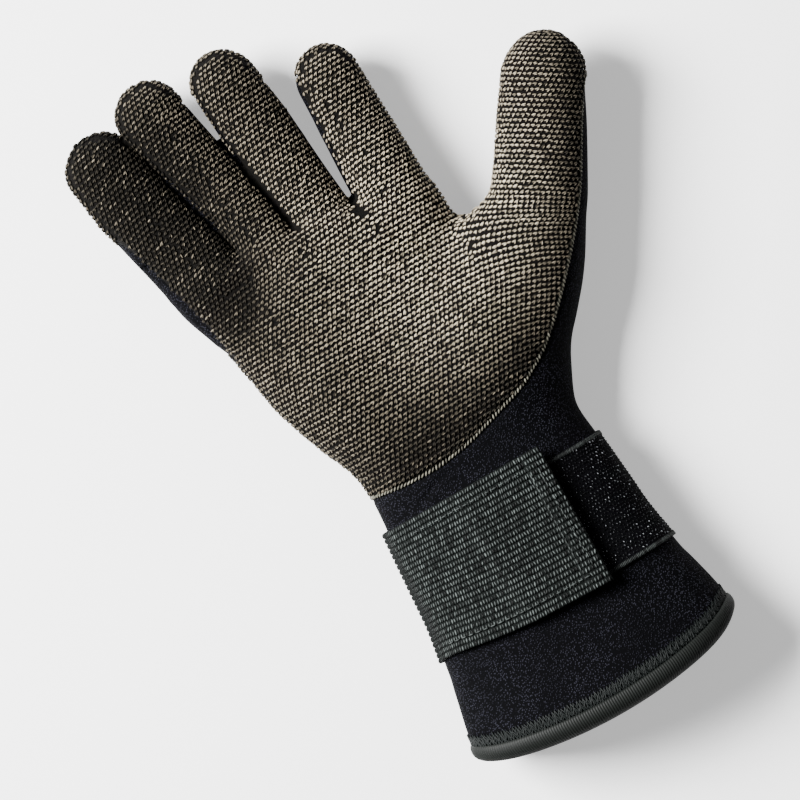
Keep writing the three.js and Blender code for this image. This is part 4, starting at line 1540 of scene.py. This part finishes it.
# Stitch rows on the strap: from x and v to x and v, in the wrist's frame and in shares of the width
STRAP_STITCHES = (
    (-40.0, 0.9, 10.0, 0.9), (-44.0, 0.085, 17.0, 0.1), (14.0, 0.87, 14.0, 0.14), (18.0, 0.87, 18.5, 0.14),
)
STITCH_PITCH = 3.3
built = []
for x_start, v_start, x_end, v_end in STRAP_STITCHES:
    t = np.linspace(0, 1, 200)
    v = v_start + (v_end - v_start) * t
    x = x_start + (x_end - x_start) * t
    share = strap_share(x, 0.5)
    curve, lead = along_curve(strap_band.at(share, v, strap_height(share, v)), STITCH_PITCH)
    count = len(curve)
    t = (np.arange(count) + 0.5) / count
    share = np.interp(t, np.linspace(0, 1, 200), share)
    v = v_start + (v_end - v_start) * t
    _, _, _, out = strap_band.frame(share, v, STRAP_THICKNESS)
    built.append(grains(curve + 0.1 * out, out, lead, 2.7, 0.7, 0.5, random.uniform(0.2, 0.6, count)))
stitch_piece = new_piece("strap_stitches", *joined(built), (elastic_thread,), "ribbed_elastic")

# Hooks: stubs of nylon that rise from the tape and bend over, where the strap doesn't cover it
HOOK_PITCH = 1.5
hook_places = np.arange(1.0, tape_band.length - 1.0, HOOK_PITCH)
hook_rows = np.arange(SELVEDGE + 0.9, TAPE_WIDTH - SELVEDGE, HOOK_PITCH)
row, place = np.meshgrid(hook_rows, hook_places, indexing="ij")
row_number = np.round(row / HOOK_PITCH).astype(int)
place = (place + 0.5 * HOOK_PITCH * (row_number % 2) + random.normal(0, 0.12, row.shape)).ravel()
row = (row + random.normal(0, 0.12, row.shape)).ravel()
share = place / tape_band.length
here, along, aside, out = tape_band.frame(share, row / TAPE_WIDTH, TAPE_THICKNESS - 0.4)
shown = (here[:, 0] > STRAP_REACH - 5) | (out[:, 2] < 0.3)
here, along, aside, out = here[shown], along[shown], aside[shown], out[shown]
lean = random.choice((-1.0, 1.0), len(here))[:, None] * aside
lean = lean + random.normal(0, 0.3, (len(here), 1)) * along
bend = ((0.0, 0.0), (0.02, 0.35), (0.2, 0.6), (0.5, 0.52))
stand = np.clip(2 * out[:, 2:3], 0.35, 1)
paths = np.stack([here + stand * (side * lean + rise * out) for side, rise in bend], axis=1)
side_way = np.repeat(unit(np.cross(lean, out))[:, None], len(bend), axis=1)
# A few hooks, picked at random, are pale as painted glints on their heads; most stay dark.
hooks = tubes(paths, side_way, 0.16, 4, random.uniform(0, 1, len(here)) ** 4)
hook_piece = new_piece("nylon_hook_stubs", *hooks, (hook_nylon,), "hook_tape")

# Selvedges of the tape: a cord of thread wraps along each edge
built = []
SELVEDGE_PITCH = 0.62
for v in (0.022, 0.978):
    share = np.arange(0.5, tape_band.length - 0.3, SELVEDGE_PITCH) / tape_band.length
    here, along, aside, out = tape_band.frame(share, np.full(len(share), v), TAPE_THICKNESS - 0.1)
    lead = turned(along, aside, 1.3 + random.normal(0, 0.1, len(share)))
    built.append(grains(here, out, lead, 2.3, 0.6, 0.25, random.uniform(0.05, 0.4, len(share))))
selvedge_piece = new_piece("tape_selvedge_threads", *joined(built), (elastic_thread,), "hook_tape")

# Overlock above the binding: zigzag threads and a chain, carried round the cuff
ZIGZAG_PITCH = 2.7
ZIGZAG_LOW = BINDING_WIDTH - 0.8 - CUFF_LENGTH
ZIGZAG_HIGH = BINDING_WIDTH + 5.0 - CUFF_LENGTH
built = []
periods = int(round(hem_lengths[-1] / ZIGZAG_PITCH))
for phase, swing, shine in ((0.0, 1.0, 0.7), (0.5, 0.95, 0.5), (0.22, 0.55, 0.4)):
    t = np.arange(periods * 6) / (periods * 6)
    beat = (t * periods + phase) % 1.0
    wave = 2 * np.abs(2 * beat - 1) - 1
    uneven = np.repeat(random.normal(0, 0.09, periods * 2), 3)
    level = (ZIGZAG_LOW + ZIGZAG_HIGH) / 2 + (ZIGZAG_HIGH - ZIGZAG_LOW) / 2 * (wave * swing + uneven)
    length = (t + random.normal(0, 0.0004, len(t))) * hem_lengths[-1]
    angle = np.interp(length, hem_lengths, closed_angles)
    height = 0.3 + 0.25 * np.abs(wave) * (phase > 0.2)
    path = hand_point(level, angle, height)
    normal = unit(hand_point(level, angle, height + 1.0) - path)
    built.append(tubes(path[None], normal[None], 0.36, 6, shine))
new_piece("hem_overlock_threads", *joined(built), (hem_thread,), "binding_tape")

# Stitches across the palm panel's edge: the heel and the thumb's outer side, the edge of the hand, and
# round each finger and the thumb, with their slant in radians
SEAM_SLANT = 0.75
THUMB_SEAM_START = 70.0


def limb_outline(limb, start):
    """A guess at the side seam: up one side of a limb, round its tip and down the other side."""
    s = np.arange(start, limb.last, 1.0)
    turns = np.linspace(-math.pi / 2, math.pi / 2, 40)
    half = limb.column("half", limb.last)
    shift = limb.column("shift", limb.last)
    s_tip = limb.last + limb.dome * np.cos(turns)
    n_tip = shift + half * np.sin(turns)
    s_all = np.concatenate((s, s_tip, s[::-1]))
    n_up = limb.column("shift", s) - limb.column("half", s)
    n_down = limb.column("shift", s) + limb.column("half", s)
    plan = limb.at(s_all, np.concatenate((n_up, n_tip, n_down[::-1])))
    return np.column_stack((plan, seam_height(plan[:, 1])))


def seam_stitches(curve, pitch, long, wide, high, shade):
    """Stitches at an even pitch over a seam, slanted to its line."""
    curve = onto_seam(onto_skin(curve, 6), np.zeros(len(curve), int), 6)
    centres, lead = along_curve(curve, pitch)
    centres = onto_seam(onto_skin(centres, 2), np.zeros(len(centres), int), 2)
    depth = panel_depths(centres)
    good = (np.abs(field_at(centres)) < 0.25) & (np.abs(depth[:, 0]) < 0.4)
    good &= depth[:, 1:].max(axis=1) < -0.3
    centres, lead = centres[good], lead[good]
    normal = unit(slope_at(centres))
    lead = unit(along_surface(lead, normal))
    way = turned(lead, np.cross(normal, lead), SEAM_SLANT + random.normal(0, 0.14, len(centres)))
    tones = np.clip(random.normal(shade, 0.2, len(centres)), 0, 1)
    return grains(centres - 0.35 * normal, normal, way, long, wide, high, tones)


edge_y = np.arange(6.0, 108.0, 1.0)
hand_edge = np.stack((
    hand("middle", edge_y) - hand("half", edge_y), edge_y, seam_height(edge_y)
), axis=1)
built = [
    seam_stitches(lifted(heel_line), 1.6, 2.6, 0.95, 0.9, 0.6),
    seam_stitches(hand_edge, 1.45, 2.2, 0.8, 0.7, 0.45),
]
for name in (*FINGERS, "thumb"):
    start = THUMB_SEAM_START if name == "thumb" else 0.0
    built.append(seam_stitches(limb_outline(limbs[name], start), 1.45, 2.0, 0.75, 0.6, 0.4))
new_piece("palm_edge_stitches", *joined(built), (seam_thread,), "grip_knit")

# Camera: straight down on the point that the photograph is centred on, with a long lens
CENTRE = np.array((-0.02986, -0.00518))
CAMERA_HEIGHT = 2.6
MIDDLE_HEIGHT = 0.02
VIEW_WIDTH = 0.32
CAMERA_TURN = math.radians(-30)
FLOOR_REACH = 6
camera_data = bpy.data.cameras.new("camera")
camera_data.sensor_width = 36.0
camera_data.lens = 36.0 * (CAMERA_HEIGHT - MIDDLE_HEIGHT) / VIEW_WIDTH
camera_data.clip_end = 20.0
camera = bpy.data.objects.new("camera", camera_data)
camera.location = (*CENTRE, CAMERA_HEIGHT)
camera.rotation_euler = (0, 0, CAMERA_TURN)
bpy.context.scene.collection.objects.link(camera)
bpy.context.scene.camera = camera

# Studio: a pale floor, a key light from the picture's upper left and weak fills
floor_material, floor_tree, floor_shader = start_material("pale_floor", Roughness=0.9)
floor_shader.inputs["Base Color"].default_value = (0.86, 0.86, 0.86, 1)
# Painted light: the floor glows faintly though it is no lamp, so it shows near white, its shadows are
# lightened and the glove is lit a little from below.
floor_shader.inputs["Emission Color"].default_value = (1, 1, 1, 1)
floor_shader.inputs["Emission Strength"].default_value = 0.5
floor_mesh = bpy.data.meshes.new("floor")
floor_corners = [(x * FLOOR_REACH, y * FLOOR_REACH, 0) for x, y in ((-1, -1), (1, -1), (1, 1), (-1, 1))]
floor_mesh.from_pydata(floor_corners, [], [(0, 1, 2, 3)])
floor_mesh.materials.append(floor_material)
floor = bpy.data.objects.new("floor", floor_mesh)
bpy.context.scene.collection.objects.link(floor)


def area_light(name, place, size, power, target=(-0.02, 0.0, 0.02)):
    """A soft box aimed at the glove."""
    data = bpy.data.lights.new(name, "AREA")
    data.size = size
    data.energy = power
    light = bpy.data.objects.new(name, data)
    light.location = place
    aim = np.array(target) - np.array(place)
    yaw = math.atan2(aim[1], aim[0])
    pitch = math.acos(-aim[2] / np.linalg.norm(aim))
    light.rotation_euler = (pitch, 0, yaw - math.pi / 2)
    bpy.context.scene.collection.objects.link(light)
    return light


area_light("key", (-1.1, 0.85, 1.15), 0.9, 240)
area_light("fill", (0.9, -0.9, 1.6), 1.6, 3)
world = bpy.data.worlds.new("studio")
world.use_nodes = True
world.node_tree.nodes["Background"].inputs["Color"].default_value = (1, 1, 1, 1)
world.node_tree.nodes["Background"].inputs["Strength"].default_value = 0.12
bpy.context.scene.world = world
